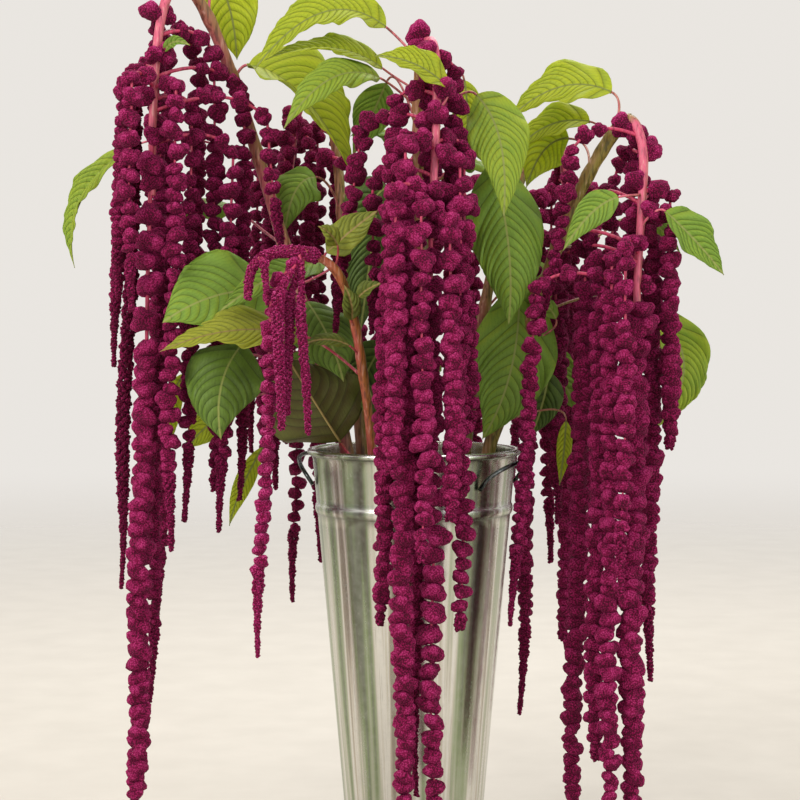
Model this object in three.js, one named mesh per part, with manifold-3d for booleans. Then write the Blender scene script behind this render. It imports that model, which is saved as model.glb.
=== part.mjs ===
// Cut stems of love-lies-bleeding in a tall galvanised flower bucket.
// Millimetres, +Z up. The origin is the centre of the bucket's base and -Y is the front.

import * as THREE from "three";
import { mergeVertices } from "three/addons/utils/BufferGeometryUtils.js";
import Module from "manifold-3d";

const wasm = await Module();
wasm.setup();

// Driving dimensions of the bucket
const BUCKET_HEIGHT = 376;
const RIM_RADIUS = 92;
const BASE_RADIUS = 58.5;
const SHEET = 1.2;
const ROLL_RADIUS = 3;
const BAND_HEIGHT = 322;
const BAND_HALF_WIDTH = 5;
const BAND_DEPTH = 1.8;
const FOOT_BEAD = 1.5;
const BUCKET_SIDES = 28;

// The two wire ears under the rim
const EAR_WIRE_RADIUS = 1.9;
const EAR_TOP = 368;
const EAR_DROP = 24;
const EAR_BOW = 13;
const EAR_CLEAR = 0.7;
const EAR_HALF_SPAN = THREE.MathUtils.degToRad(30);
const EAR_ANGLES = { right: -22, left: 158 };

// Water, and the gap that parts which touch are drawn with
const WATER_LEVEL = 190;
const GAP = 0.3;

// How many places along a curve are tried for the one nearest to a point
const CURVE_TRIES = 80;

// Stems, rachises and the stalks of tassels. A stalk starts clear of the rachis's lower end.
const STEM_SIDES = 6;
const RACHIS_SIDES = 4;
const STALK_RADIUS = 1.8;
const STALK_BEND = 0.7;
const STALK_CLEAR = 0.03;

// Tassels: a rope of beads, drawn as rings that are wide and narrow by turns, slim at the top and the tip
const BEAD_STEP = 26;
const BEAD_SIDES = 4;
const WAIST = 0.78;
const TASSEL_END = 0.4;
const TASSEL_TOP = 0.8;
const TASSEL_TOP_ENDS = 0.12;
const TASSEL_TAPER = 0.4;
const TASSEL_TAPER_STARTS = 0.68;
const SWAY = 2.5;
const SWAY_LENGTH_X = 43;
const SWAY_LENGTH_Y = 51;

// Leaves: a blade with a sharp edge, and a petiole. Stations are shares of the blade's or petiole's length.
const LEAF_THICKNESS = 1.2;
const LEAF_WIDEST = 0.38;
const LEAF_ROUNDNESS = 0.75;
const LEAF_END_HALF_WIDTH = 1;
const PETIOLE_THICKNESS = 2.4;
const PETIOLE_HALF_WIDTH = 1.3;
const PETIOLE_BEND = 0.35;
const LEAF_WAVE = 0.08;
const LEAF_STATIONS = [0, 0.15, 0.36, 0.6, 0.84, 1];
const PETIOLE_STATIONS = [0.5, 0];

// Colours, as the photo shows them
const ZINC = { color: 0xb9bab0, metalness: 1, roughness: 0.32 };
const WATER = { color: 0xcfd8d2, metalness: 0, roughness: 0.08 };
const MAGENTA = { color: 0x8c1a4a, metalness: 0, roughness: 0.85 };
const YOUNG_PINK = { color: 0xb42361, metalness: 0, roughness: 0.8 };
const LEAF_GREEN = { color: 0x6f9436, metalness: 0, roughness: 0.55 };
const YOUNG_GREEN = { color: 0x8f8338, metalness: 0, roughness: 0.55 };

// One row for each plant. The path runs from the cut foot through the bucket's mouth and over the arch.
// The green stem ends at the control point that the join names and the pink rachis goes on from there.
// A tassel is [x at its top, x at its tip, y, height of its top, height of its tip, radius].
// A leaf is [height on the stem, blade's base, crest, tip, width, the way its upper side faces, fold].
// The stalkRise says how high a tassel's stalk arches, as a share of its length.
const PLANTS = {
  left: {
    path: [
      [-34, 4, 2], [-42, 5, 130], [-51, 5, 260], [-63, 6, 385], [-103, 15, 509], [-137, 20, 626],
      [-168, 15, 722], [-190, 4, 772], [-208, -14, 790], [-220, -32, 765], [-226, -44, 715],
      [-228, -52, 660], [-228, -58, 600],
    ],
    join: 8,
    stemRadii: [7, 5],
    rachisRadii: [4.5, 3],
    stalkRise: 0.3,
    flower: MAGENTA,
    green: LEAF_GREEN,
    tassels: [
      [-228, -247, -58, 652, 58, 11.5],
      [-254, -262, -36, 700, 512, 8],
      [-258, -267, -8, 702, 450, 7.5],
      [-250, -269, 18, 698, 246, 7],
      [-242, -246, -84, 700, 500, 9],
      [-206, -215, -64, 695, 290, 9],
      [-196, -204, -28, 680, 312, 8.5],
      [-224, -235, -28, 655, 150, 8.5],
      [-178, -178, -8, 728, 338, 9.5],
      [-160, -172, -22, 640, 303, 8.5],
      [-152, -158, 4, 690, 328, 8.5],
      [-196, -204, 32, 722, 396, 9],
      [-226, -236, 38, 716, 194, 9],
      [-228, -232, -4, 735, 420, 9.5],
      [-130, -118, -24, 668, 540, 7.5],
    ],
    leaves: [
      [708, [-150, 25, 721], [-100, 10, 692], [-54, 0, 618], 78, [0.5, -0.6, 0.7], 0.5],
      [760, [-177, 30, 799], [-166, 36, 768], [-161, 38, 727], 54, [0, -1, 0.1], 0.1],
      [640, [-262, 62, 648], [-308, 56, 600], [-312, 50, 538], 32, [-0.7, -0.6, 0.3], 0.6],
      [500, [-127, -40, 518], [-173, -74, 513], [-216, -94, 490], 82, [-0.1, -0.95, 0.3], -0.1],
      [480, [-150, -42, 472], [-168, -64, 436], [-168, -70, 388], 70, [0, -1, 0.3], -0.1],
      [490, [-95, -28, 508], [-76, -46, 478], [-62, -58, 438], 58, [0.2, -0.9, 0.3], -0.1],
      [520, [-78, -52, 542], [-118, -78, 532], [-166, -100, 500], 40, [-0.1, -0.8, 0.5], 0.1],
      [440, [-214, 68, 440], [-236, 72, 384], [-234, 74, 322], 26, [0, -1, 0.1], 0.1],
      [425, [-165, 60, 412], [-192, 66, 392], [-214, 70, 368], 34, [0, -0.9, 0.4], 0.1],
      [405, [-140, 60, 372], [-160, 66, 334], [-172, 68, 298], 18, [0, -1, 0.2], 0.1],
      [560, [-160, 70, 590], [-200, 84, 600], [-246, 90, 566], 54, [0, 0.2, 1], -0.1],
    ],
  },
  centre: {
    path: [
      [4, -16, 2], [5, -20, 130], [6, -24, 260], [8, -28, 385], [8, -30, 509], [5, -28, 620],
      [4, -30, 690], [8, -50, 728], [16, -78, 728], [19, -95, 695], [17, -106, 630],
      [14, -114, 570],
    ],
    join: 7,
    stemRadii: [7, 5],
    rachisRadii: [4.5, 3],
    stalkRise: 0.3,
    flower: MAGENTA,
    green: LEAF_GREEN,
    tassels: [
      [13, 16, -120, 585, 68, 11.5],
      [-8, -11, -130, 640, 70, 11],
      [-18, -30, -112, 640, 232, 10],
      [38, 40, -112, 628, 228, 10],
      [42, 47, -86, 640, 402, 9.5],
      [-46, -70, -60, 655, 478, 8.5],
      [5, 7, -152, 586, 292, 10],
      [29, 32, -142, 576, 325, 10],
      [-16, -18, -152, 600, 366, 9.5],
      [-36, -38, -68, 610, 480, 9],
      [-16, -18, -84, 680, 440, 9],
      [35, 33, -66, 705, 505, 9],
      [12, 12, -80, 705, 580, 10],
      [1, 1, -104, 560, 84, 8],
    ],
    leaves: [
      [716, [-25, -20, 750], [-80, -45, 760], [-138, -68, 708], 50, [0, -0.75, 0.7], 0.3],
      [692, [-28, -28, 713], [-74, -48, 729], [-130, -66, 716], 34, [0, -0.6, 0.8], 0.3],
      [678, [-30, -42, 703], [-72, -72, 700], [-112, -92, 655], 40, [0, -0.75, 0.7], 0.4],
      [650, [54, -48, 688], [74, -74, 645], [76, -90, 580], 52, [0, -1, 0.25], -0.15],
      [600, [68, -40, 630], [82, -54, 557], [82, -58, 488], 66, [0, -1, 0.2], -0.15],
      [640, [45, 8, 706], [48, 4, 668], [44, 4, 628], 28, [0, -1, 0], 0.2],
      [655, [-25, 15, 704], [-38, 24, 676], [-56, 32, 640], 36, [0, -1, 0], 0.3],
      [590, [-25, 10, 610], [-42, 20, 590], [-50, 24, 550], 50, [0, -1, 0.3], 0.1],
      [560, [-34, -14, 585], [-40, -20, 538], [-48, -24, 480], 42, [0.2, -1, 0.2], -0.1],
      [470, [-26, 8, 470], [-44, 16, 440], [-54, 20, 402], 44, [0, -1, 0.3], -0.1],
      [405, [-22, -26, 402], [-34, -38, 418], [-42, -50, 436], 28, [0.1, -0.9, 0.4], 0.1],
    ],
  },
  right: {
    path: [
      [28, -2, 2], [38, -4, 130], [49, -6, 260], [66, -8, 370], [94, -12, 455], [118, -15, 530],
      [142, -18, 595], [172, -22, 650], [190, -30, 668], [200, -42, 640], [198, -52, 590],
      [194, -60, 530], [193, -65, 480],
    ],
    join: 8,
    stemRadii: [7, 5],
    rachisRadii: [4.5, 3],
    stalkRise: 0.3,
    flower: MAGENTA,
    green: LEAF_GREEN,
    tassels: [
      [194, 188, -66, 500, 58, 12],
      [224, 224, -45, 600, 378, 9.5],
      [212, 209, -30, 562, 170, 9],
      [170, 169, -78, 545, 60, 10],
      [163, 158, -52, 520, 103, 10],
      [152, 141, -22, 535, 48, 10],
      [128, 133, 22, 538, 310, 9],
      [106, 86, -64, 520, 225, 8],
      [110, 98, 34, 548, 127, 8],
      [138, 131, 46, 580, 303, 8],
      [138, 112, -44, 640, 478, 8],
      [180, 179, -96, 555, 250, 9],
      [216, 206, 12, 580, 270, 9],
      [182, 170, 24, 617, 352, 9],
      [196, 190, -14, 640, 420, 10],
    ],
    leaves: [
      [655, [176, -6, 694], [132, 0, 700], [86, 6, 672], 50, [0, -0.75, 0.65], 0.2],
      [640, [159, 22, 670], [126, 32, 669], [96, 38, 648], 36, [0, -0.8, 0.6], 0.3],
      [620, [142, 42, 656], [120, 54, 646], [104, 60, 612], 44, [0, 1, -0.2], 0.2],
      [510, [94, -8, 522], [86, -28, 448], [60, -36, 386], 74, [0, -1, 0.3], -0.1],
      [440, [122, 8, 444], [116, 10, 414], [106, 10, 386], 34, [0, -1, 0.3], 0.1],
      [398, [137, 0, 400], [135, 0, 372], [131, 0, 342], 14, [0, -1, 0.1], 0.1],
      [490, [226, 62, 498], [250, 54, 446], [222, 44, 390], 46, [0.3, -0.9, 0.2], 0.2],
      [470, [126, -22, 492], [117, -28, 504], [104, -32, 505], 17, [0, -0.8, 0.5], 0.2],
      [560, [180, 60, 575], [215, 74, 585], [250, 84, 552], 50, [0.1, 0.2, 1], -0.1],
    ],
  },
  back_left: {
    path: [
      [-26, 26, 2], [-32, 33, 130], [-39, 40, 260], [-48, 50, 372], [-58, 62, 480], [-66, 76, 580],
      [-74, 88, 660], [-90, 102, 704], [-107, 115, 690], [-116, 121, 640], [-120, 122, 580],
    ],
    join: 7,
    stemRadii: [6.5, 4.5],
    rachisRadii: [4, 3],
    stalkRise: 0.3,
    flower: MAGENTA,
    green: LEAF_GREEN,
    tassels: [
      [-120, -124, 122, 600, 372, 10],
      [-96, -102, 94, 655, 392, 9],
      [-118, -130, 80, 672, 332, 9],
      [-138, -144, 140, 660, 295, 9],
      [-92, -92, 150, 665, 254, 9],
      [-114, -116, 168, 655, 213, 8.5],
      [-150, -158, 160, 640, 360, 8],
      [-74, -70, 134, 660, 333, 8],
      [-52, -49, 39, 620, 410, 8.5],
    ],
    leaves: [
      [590, [-90, 60, 622], [-108, 48, 610], [-118, 40, 570], 46, [-0.2, -0.9, 0.4], -0.1],
      [520, [-46, 96, 548], [-38, 130, 566], [-44, 174, 542], 42, [0, 0.3, 1], -0.1],
      [440, [-82, 56, 452], [-112, 46, 452], [-138, 40, 412], 38, [-0.2, -0.5, 0.8], -0.1],
      [410, [-50, 98, 424], [-40, 134, 424], [-42, 172, 388], 42, [0, 0.4, 0.9], -0.1],
    ],
  },
  back_right: {
    path: [
      [24, 24, 2], [31, 31, 130], [38, 38, 260], [48, 48, 372], [62, 60, 480], [78, 74, 555],
      [100, 90, 620], [124, 108, 668], [140, 124, 655], [146, 131, 600], [146, 132, 545],
    ],
    join: 7,
    stemRadii: [6.5, 4.5],
    rachisRadii: [4, 3],
    stalkRise: 0.3,
    flower: MAGENTA,
    green: LEAF_GREEN,
    tassels: [
      [146, 146, 132, 565, 180, 10],
      [120, 124, 98, 600, 393, 9],
      [166, 170, 112, 612, 296, 9],
      [134, 132, 158, 620, 252, 9],
      [172, 180, 146, 600, 214, 8.5],
      [104, 98, 134, 600, 333, 8.5],
      [154, 160, 174, 610, 360, 8],
    ],
    leaves: [
      [500, [98, 66, 528], [122, 68, 526], [138, 66, 492], 36, [0.1, -0.8, 0.5], -0.1],
      [470, [68, 98, 490], [72, 138, 500], [74, 182, 464], 34, [0, 0.3, 1], -0.1],
      [590, [72, 94, 628], [50, 106, 642], [26, 108, 622], 44, [0, 0.1, 1], -0.1],
      [430, [98, 70, 446], [130, 74, 440], [158, 72, 400], 50, [0, -0.9, 0.4], -0.1],
    ],
  },
  back: {
    path: [
      [0, 34, 2], [2, 44, 130], [4, 55, 260], [6, 68, 372], [8, 90, 480], [10, 112, 570],
      [11, 140, 650], [12, 168, 696], [16, 190, 680], [18, 200, 610], [18, 202, 540],
    ],
    join: 7,
    stemRadii: [6.5, 4.5],
    rachisRadii: [4, 3],
    stalkRise: 0.3,
    flower: MAGENTA,
    green: LEAF_GREEN,
    tassels: [
      [18, 17, 202, 560, 108, 10.5],
      [-8, -14, 178, 640, 290, 9.5],
      [44, 46, 176, 635, 250, 9.5],
      [0, -4, 222, 640, 186, 9.5],
      [38, 40, 222, 640, 326, 9.5],
      [-28, -36, 204, 630, 358, 9],
      [60, 66, 202, 625, 208, 9],
    ],
    leaves: [
      [540, [40, 130, 562], [74, 148, 572], [110, 160, 545], 54, [0.1, 0.2, 1], -0.1],
      [500, [-14, 130, 520], [-38, 152, 524], [-50, 186, 488], 42, [-0.2, 0.3, 1], -0.1],
      [620, [-14, 130, 655], [-36, 132, 674], [-60, 124, 664], 40, [0, 0.1, 1], -0.1],
      [420, [6, 116, 436], [8, 150, 442], [8, 182, 412], 38, [0, 0.4, 1], -0.1],
    ],
  },
  young: {
    path: [
      [-20, -34, 2], [-24, -40, 130], [-30, -47, 260], [-37, -56, 376], [-44, -70, 440],
      [-54, -81, 500], [-68, -89, 535], [-92, -97, 549], [-121, -104, 549], [-138, -109, 536],
      [-142, -111, 510],
    ],
    join: 7,
    stemRadii: [5, 3.2],
    rachisRadii: [6, 3],
    stalkRise: 0.05,
    flower: YOUNG_PINK,
    green: YOUNG_GREEN,
    tassels: [
      [-121, -134, -112, 514, 205, 7.5],
      [-115, -115, -127, 514, 400, 6.5],
      [-106, -106, -112, 511, 412, 5.5],
      [-97, -91, -118, 500, 396, 5.5],
      [-96, -95, -107, 534, 513, 4],
      [-127, -124, -124, 540, 520, 4],
    ],
    leaves: [
      [444, [-96, -66, 478], [-154, -94, 484], [-216, -114, 466], 48, [0, -0.7, 0.75], 0.1],
      [528, [-76, -80, 550], [-56, -84, 568], [-32, -86, 586], 34, [0, -0.8, 0.6], 0.1],
      [535, [-66, -96, 556], [-72, -104, 566], [-82, -110, 572], 20, [0, -0.8, 0.6], 0.2],
      [500, [-48, -84, 512], [-40, -88, 519], [-28, -92, 524], 16, [0, -0.8, 0.6], 0.2],
      [460, [-56, -84, 470], [-76, -94, 476], [-98, -102, 470], 14, [0, -0.8, 0.6], 0.2],
      [484, [-54, -88, 492], [-54, -98, 506], [-60, -102, 522], 18, [0.3, -0.9, 0.2], 0.2],
      [345, [-66, -34, 384], [-87, -51, 419], [-112, -57, 460], 88, [0.1, 0.85, -0.3], 0.2],
    ],
  },
};

// Leaves that grow on a rachis: [plant, height on the rachis, base, crest, tip, width, facing, fold]
const BRACTS = {
  bract_left: ["left", 742, [-218, -50, 725], [-208, -58, 733], [-194, -64, 729], 11, [0, -1, 0.4], 0.1],
  bract_centre: ["centre", 668, [27, -106, 690], [0, -117, 708], [-34, -114, 715], 32, [0, -0.75, 0.65], 0.25],
  bract_right_inner: ["right", 600, [176, -72, 598], [152, -78, 584], [128, -78, 552], 28, [0, -1, 0.3], 0.1],
  bract_right_outer: ["right", 572, [217, -68, 586], [243, -62, 562], [270, -55, 531], 36, [0.2, -0.9, 0.4], 0.3],
};

const vector = (values) => new THREE.Vector3(...values);

function solidOf(geometry) {
  const bare = geometry.clone();
  bare.deleteAttribute("normal");
  bare.deleteAttribute("uv");
  const merged = mergeVertices(bare, 1e-3);
  const corners = merged.index.array;
  const kept = [];
  for (let i = 0; i < corners.length; i += 3) {
    const [a, b, c] = corners.slice(i, i + 3);
    if (a !== b && b !== c && c !== a) {
      kept.push(a, b, c);
    }
  }
  const mesh = new wasm.Mesh({
    numProp: 3,
    vertProperties: new Float32Array(merged.attributes.position.array),
    triVerts: new Uint32Array(kept),
  });
  return new wasm.Manifold(mesh);
}

// The largest body of a solid, without the small hollows that a join of many bars closes in
function largestBody(solid) {
  return solid.decompose().reduce((largest, piece) => (piece.volume() > largest.volume() ? piece : largest));
}

function geometryOf(solid) {
  const mesh = solid.getMesh();
  const geometry = new THREE.BufferGeometry();
  geometry.setAttribute("position", new THREE.BufferAttribute(mesh.vertProperties, 3));
  geometry.setIndex(new THREE.BufferAttribute(mesh.triVerts, 1));
  geometry.computeVertexNormals();
  return geometry;
}

function solidFrom(points, corners) {
  const geometry = new THREE.BufferGeometry().setFromPoints(points);
  geometry.setIndex(corners);
  return solidOf(geometry);
}

// A closed skin over rings of equal count, each anticlockwise about the way from first to last
function ringSolid(rings) {
  const count = rings[0].length;
  const corners = [];
  for (let i = 0; i + 1 < rings.length; i++) {
    for (let j = 0; j < count; j++) {
      const a = i * count + j;
      const b = i * count + ((j + 1) % count);
      corners.push(a, b, a + count, b, b + count, a + count);
    }
  }
  const last = (rings.length - 1) * count;
  for (let j = 1; j + 1 < count; j++) {
    corners.push(0, j + 1, j, last, last + j, last + j + 1);
  }
  return solidFrom(rings.flat(), corners);
}

// A bar along a line of points, with a radius at each. Each ring is turned by a share of a side.
function barSolid(points, tangents, radii, sides, turn = 0) {
  let across = new THREE.Vector3(0, 1, 0);
  const rings = points.map((point, i) => {
    const along = tangents[i];
    across = across.clone().addScaledVector(along, -across.dot(along)).normalize();
    const side = along.clone().cross(across);
    const ring = [];
    for (let j = 0; j < sides; j++) {
      const angle = (2 * Math.PI * (j + turn * i)) / sides;
      ring.push(
        point
          .clone()
          .addScaledVector(across, radii[i] * Math.cos(angle))
          .addScaledVector(side, radii[i] * Math.sin(angle)),
      );
    }
    return ring;
  });
  return ringSolid(rings);
}

// A sheet between two like grids of points, split alike on both faces
function sheetSolid(top, bottom) {
  const rows = top.length;
  const columns = top[0].length;
  const id = (layer, i, k) => (layer * rows + i) * columns + k;
  const corners = [];
  for (let i = 0; i + 1 < rows; i++) {
    for (let k = 0; k + 1 < columns; k++) {
      for (const layer of [0, 1]) {
        const a = id(layer, i, k);
        const b = id(layer, i, k + 1);
        const c = id(layer, i + 1, k + 1);
        const d = id(layer, i + 1, k);
        const split = 2 * k + 1 < columns - 1 ? [a, b, d, b, c, d] : [a, b, c, a, c, d];
        corners.push(...(layer === 0 ? split : split.reverse()));
      }
    }
    for (const [k, flip] of [[0, false], [columns - 1, true]]) {
      const wall = [id(0, i, k), id(0, i + 1, k), id(1, i + 1, k), id(0, i, k), id(1, i + 1, k), id(1, i, k)];
      corners.push(...(flip ? wall.reverse() : wall));
    }
  }
  for (let k = 0; k + 1 < columns; k++) {
    for (const [i, flip] of [[0, false], [rows - 1, true]]) {
      const wall = [id(0, i, k), id(1, i, k), id(1, i, k + 1), id(0, i, k), id(1, i, k + 1), id(0, i, k + 1)];
      corners.push(...(flip ? wall.reverse() : wall));
    }
  }
  return solidFrom([...top.flat(), ...bottom.flat()], corners);
}

const wallRadius = (height) => THREE.MathUtils.mapLinear(height, 0, BUCKET_HEIGHT, BASE_RADIUS, RIM_RADIUS);

function lathed(profile) {
  const geometry = new THREE.LatheGeometry(
    profile.map(([radius, height]) => new THREE.Vector2(radius, height)),
    BUCKET_SIDES,
  );
  geometry.rotateX(Math.PI / 2);
  return solidOf(geometry);
}

function bucketSolid() {
  const profile = [
    [0, 0],
    [BASE_RADIUS - FOOT_BEAD, 0],
    [BASE_RADIUS + FOOT_BEAD, FOOT_BEAD],
    [BASE_RADIUS + FOOT_BEAD, 3 * FOOT_BEAD],
    [wallRadius(5 * FOOT_BEAD), 5 * FOOT_BEAD],
  ];
  for (const [share, depth] of [[-1, 0], [-0.4, 1], [0.4, 1], [1, 0]]) {
    const height = BAND_HEIGHT + share * BAND_HALF_WIDTH;
    profile.push([wallRadius(height) + depth * BAND_DEPTH, height]);
  }
  const rollHeight = BUCKET_HEIGHT - ROLL_RADIUS;
  const rollCentre = wallRadius(rollHeight) + ROLL_RADIUS / 2;
  for (const degrees of [-90, -30, 30, 90, 150]) {
    const angle = THREE.MathUtils.degToRad(degrees);
    profile.push([rollCentre + ROLL_RADIUS * Math.cos(angle), rollHeight + ROLL_RADIUS * Math.sin(angle)]);
  }
  const inside = (height) => wallRadius(height) - SHEET;
  profile.push([inside(rollHeight), rollHeight], [inside(SHEET), SHEET], [0, SHEET]);
  return lathed(profile);
}

function waterSolid(stems) {
  const bottom = SHEET + GAP;
  const radius = (height) => wallRadius(height) - SHEET - GAP;
  const body = lathed([[0, bottom], [radius(bottom), bottom], [radius(WATER_LEVEL), WATER_LEVEL], [0, WATER_LEVEL]]);
  return body.subtract(wasm.Manifold.union(stems));
}

// A wire bowed out of the wall like a small arch, its two feet lying on the wall
function earGeometry(degrees) {
  const middle = THREE.MathUtils.degToRad(degrees);
  const points = [];
  for (const share of [-1, -0.94, -0.8, -0.55, -0.25, 0, 0.25, 0.55, 0.8, 0.94, 1]) {
    const rise = Math.sqrt(1 - share * share);
    const height = EAR_TOP - EAR_DROP * (1 - rise);
    const radius = wallRadius(height) + EAR_WIRE_RADIUS + EAR_CLEAR + EAR_BOW * rise;
    const angle = middle + share * EAR_HALF_SPAN;
    points.push(new THREE.Vector3(radius * Math.cos(angle), radius * Math.sin(angle), height));
  }
  const section = new THREE.Shape().absarc(0, 0, EAR_WIRE_RADIUS, 0, 2 * Math.PI);
  return new THREE.ExtrudeGeometry(section, {
    steps: 14,
    curveSegments: 3,
    bevelEnabled: false,
    extrudePath: new THREE.CatmullRomCurve3(points),
  });
}

function plantCurve(plant) {
  return new THREE.CatmullRomCurve3(plant.path.map(vector), false, "catmullrom", 0.5);
}

// How much wider a bar's corners stand so that its flat sides clear another bar's by the gap
const clearOf = (sides) => GAP / Math.cos(Math.PI / sides);

const joinShare = (plant) => plant.join / (plant.path.length - 1);

// The stretch of a plant's curve between two shares of it, as a bar that tapers
function stretchSolid(curve, from, to, steps, radii, sides, extra = 0, setBack = 0) {
  const points = [];
  const tangents = [];
  const sizes = [];
  for (let i = 0; i <= steps; i++) {
    const share = THREE.MathUtils.lerp(from, to, i / steps);
    const tangent = curve.getTangent(share);
    const point = curve.getPoint(share);
    points.push(i === 0 ? point.addScaledVector(tangent, setBack) : point);
    tangents.push(tangent);
    sizes.push(THREE.MathUtils.lerp(radii[0], radii[1], i / steps) + extra);
  }
  return barSolid(points, tangents, sizes, sides);
}

function stemSolid(plant, extra = 0) {
  const { path, join, stemRadii } = plant;
  return stretchSolid(plantCurve({ path }), 0, joinShare(plant), join, stemRadii, STEM_SIDES, extra);
}

function rachisSolid(plant, extra = 0) {
  const spans = plant.path.length - 1 - plant.join;
  const curve = plantCurve(plant);
  return stretchSolid(curve, joinShare(plant), 1, spans, plant.rachisRadii, RACHIS_SIDES, extra, GAP);
}

// The point of a stretch of a curve for which a measure is least
function leastOn(curve, from, to, measure) {
  let best = null;
  for (let i = 0; i <= CURVE_TRIES; i++) {
    const point = curve.getPoint(THREE.MathUtils.lerp(from, to, i / CURVE_TRIES));
    if (best === null || measure(point) < measure(best)) {
      best = point;
    }
  }
  return best;
}

function tasselCentre([topX, tipX, y, top, tip], share) {
  const height = THREE.MathUtils.lerp(top, tip, share);
  return new THREE.Vector3(
    THREE.MathUtils.lerp(topX, tipX, share) + SWAY * share * Math.sin(height / SWAY_LENGTH_X + topX),
    y + SWAY * share * Math.cos(height / SWAY_LENGTH_Y + topX),
    height,
  );
}

function tasselRadius(radius, share) {
  const swell = TASSEL_TOP + (1 - TASSEL_TOP) * THREE.MathUtils.smoothstep(share, 0, TASSEL_TOP_ENDS);
  const taper = 1 - TASSEL_TAPER * THREE.MathUtils.smoothstep(share, TASSEL_TAPER_STARTS, 1);
  return radius * swell * taper;
}

// A tassel on its stalk: the stalk leaves the rachis, rises a little and bends over, and the rope of beads
// hangs from it, each ring turned by half a side, wide at a bead's middle and narrow between beads
function tasselSolid(plant, tassel) {
  const [, , , top, tip, radius] = tassel;
  const head = tasselCentre(tassel, 0);
  const from = joinShare(plant) + STALK_CLEAR;
  const start = leastOn(plantCurve(plant), from, 1, (point) => point.distanceTo(head));
  const bend = start.clone().lerp(head, STALK_BEND);
  bend.z = Math.max(start.z, head.z) + plant.stalkRise * start.distanceTo(head);
  const stalk = new THREE.QuadraticBezierCurve3(start, bend, head);
  const points = [0, 0.5].map((share) => stalk.getPoint(share));
  const tangents = [0, 0.5].map((share) => stalk.getTangent(share));
  const radii = [STALK_RADIUS, STALK_RADIUS];
  const beads = Math.max(1, Math.round((top - tip) / (2 * BEAD_STEP)));
  for (let i = 0; i <= 2 * beads; i++) {
    const share = i / (2 * beads);
    const end = i === 0 || i === 2 * beads;
    points.push(tasselCentre(tassel, share));
    tangents.push(new THREE.Vector3(0, 0, -1));
    radii.push(tasselRadius(radius, share) * (end ? TASSEL_END : i % 2 === 1 ? 1 : WAIST));
  }
  return barSolid(points, tangents, radii, BEAD_SIDES, 0.5);
}

function headSolid(plant) {
  const pieces = [rachisSolid(plant)];
  for (const tassel of plant.tassels) {
    pieces.push(tasselSolid(plant, tassel));
  }
  return largestBody(wasm.Manifold.union(pieces));
}

// Half a blade's width along its length: ovate, widest at two fifths, with a drawn-out tip
function halfWidth(width, share) {
  const fall = (LEAF_ROUNDNESS * (1 - LEAF_WIDEST)) / LEAF_WIDEST;
  const shape = (u) => u ** LEAF_ROUNDNESS * (1 - u) ** fall;
  return Math.max(LEAF_END_HALF_WIDTH, (0.5 * width * shape(share)) / shape(LEAF_WIDEST));
}

// A midrib through a blade's base, crest and tip
function midrib(base, crest, tip) {
  const bend = vector(crest).multiplyScalar(2);
  bend.addScaledVector(vector(base), -0.5).addScaledVector(vector(tip), -0.5);
  return new THREE.QuadraticBezierCurve3(vector(base), bend, vector(tip));
}

// A leaf with its petiole as one sheet: the petiole starts inside the stem and grows into the midrib
function leafSolid(curve, from, to, height, base, crest, tip, width, facing, fold) {
  const rib = midrib(base, crest, tip);
  const start = leastOn(curve, from, to, (point) => Math.abs(point.z - height));
  const foot = rib.getPoint(0);
  const bend = foot.clone().addScaledVector(rib.getTangent(0), -PETIOLE_BEND * start.distanceTo(foot));
  const petiole = new THREE.QuadraticBezierCurve3(start, bend, foot);
  const rows = LEAF_STATIONS.map((share, i) => {
    const along = rib.getTangent(share);
    const half = halfWidth(width, share);
    const wave = (i % 2 === 0 ? 1 : -1) * LEAF_WAVE * half;
    const up = squareTo(vector(facing), along);
    return { point: rib.getPoint(share), along, up, half, wave, thickness: LEAF_THICKNESS };
  });
  for (const share of PETIOLE_STATIONS) {
    const along = petiole.getTangent(share);
    const up = squareTo(rows[0].up, along);
    const [half, thickness] = [PETIOLE_HALF_WIDTH, PETIOLE_THICKNESS];
    rows.unshift({ point: petiole.getPoint(share), along, up, half, wave: 0, thickness });
  }
  const top = rows.map(({ point, along, up, half, wave }) => {
    const side = along.clone().cross(up);
    return [-1, 0, 1].map((place) =>
      point
        .clone()
        .addScaledVector(side, place * half)
        .addScaledVector(up, Math.abs(place) * (fold * half + place * wave)),
    );
  });
  const bottom = top.map(([left, middle, right], i) => {
    const { up, thickness } = rows[i];
    return [left.clone(), middle.clone().addScaledVector(up, -thickness), right.clone()];
  });
  return sheetSolid(top, bottom);
}

const squareTo = (direction, along) =>
  direction.clone().addScaledVector(along, -direction.dot(along)).normalize();

function leafyStemSolid(plant) {
  const curve = plantCurve(plant);
  const leaves = plant.leaves.map((leaf) => leafSolid(curve, 0, joinShare(plant), ...leaf));
  return largestBody(wasm.Manifold.union([stemSolid(plant), ...leaves]));
}

function bractSolid([plantName, ...leaf]) {
  const plant = PLANTS[plantName];
  const leafAndFoot = leafSolid(plantCurve(plant), joinShare(plant), 1, ...leaf);
  return largestBody(leafAndFoot.subtract(rachisSolid(plant, clearOf(RACHIS_SIDES))));
}

const model = new THREE.Group();

function addPart(name, geometry, finish) {
  const mesh = new THREE.Mesh(geometry, new THREE.MeshStandardMaterial(finish));
  mesh.name = name;
  model.add(mesh);
}

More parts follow.
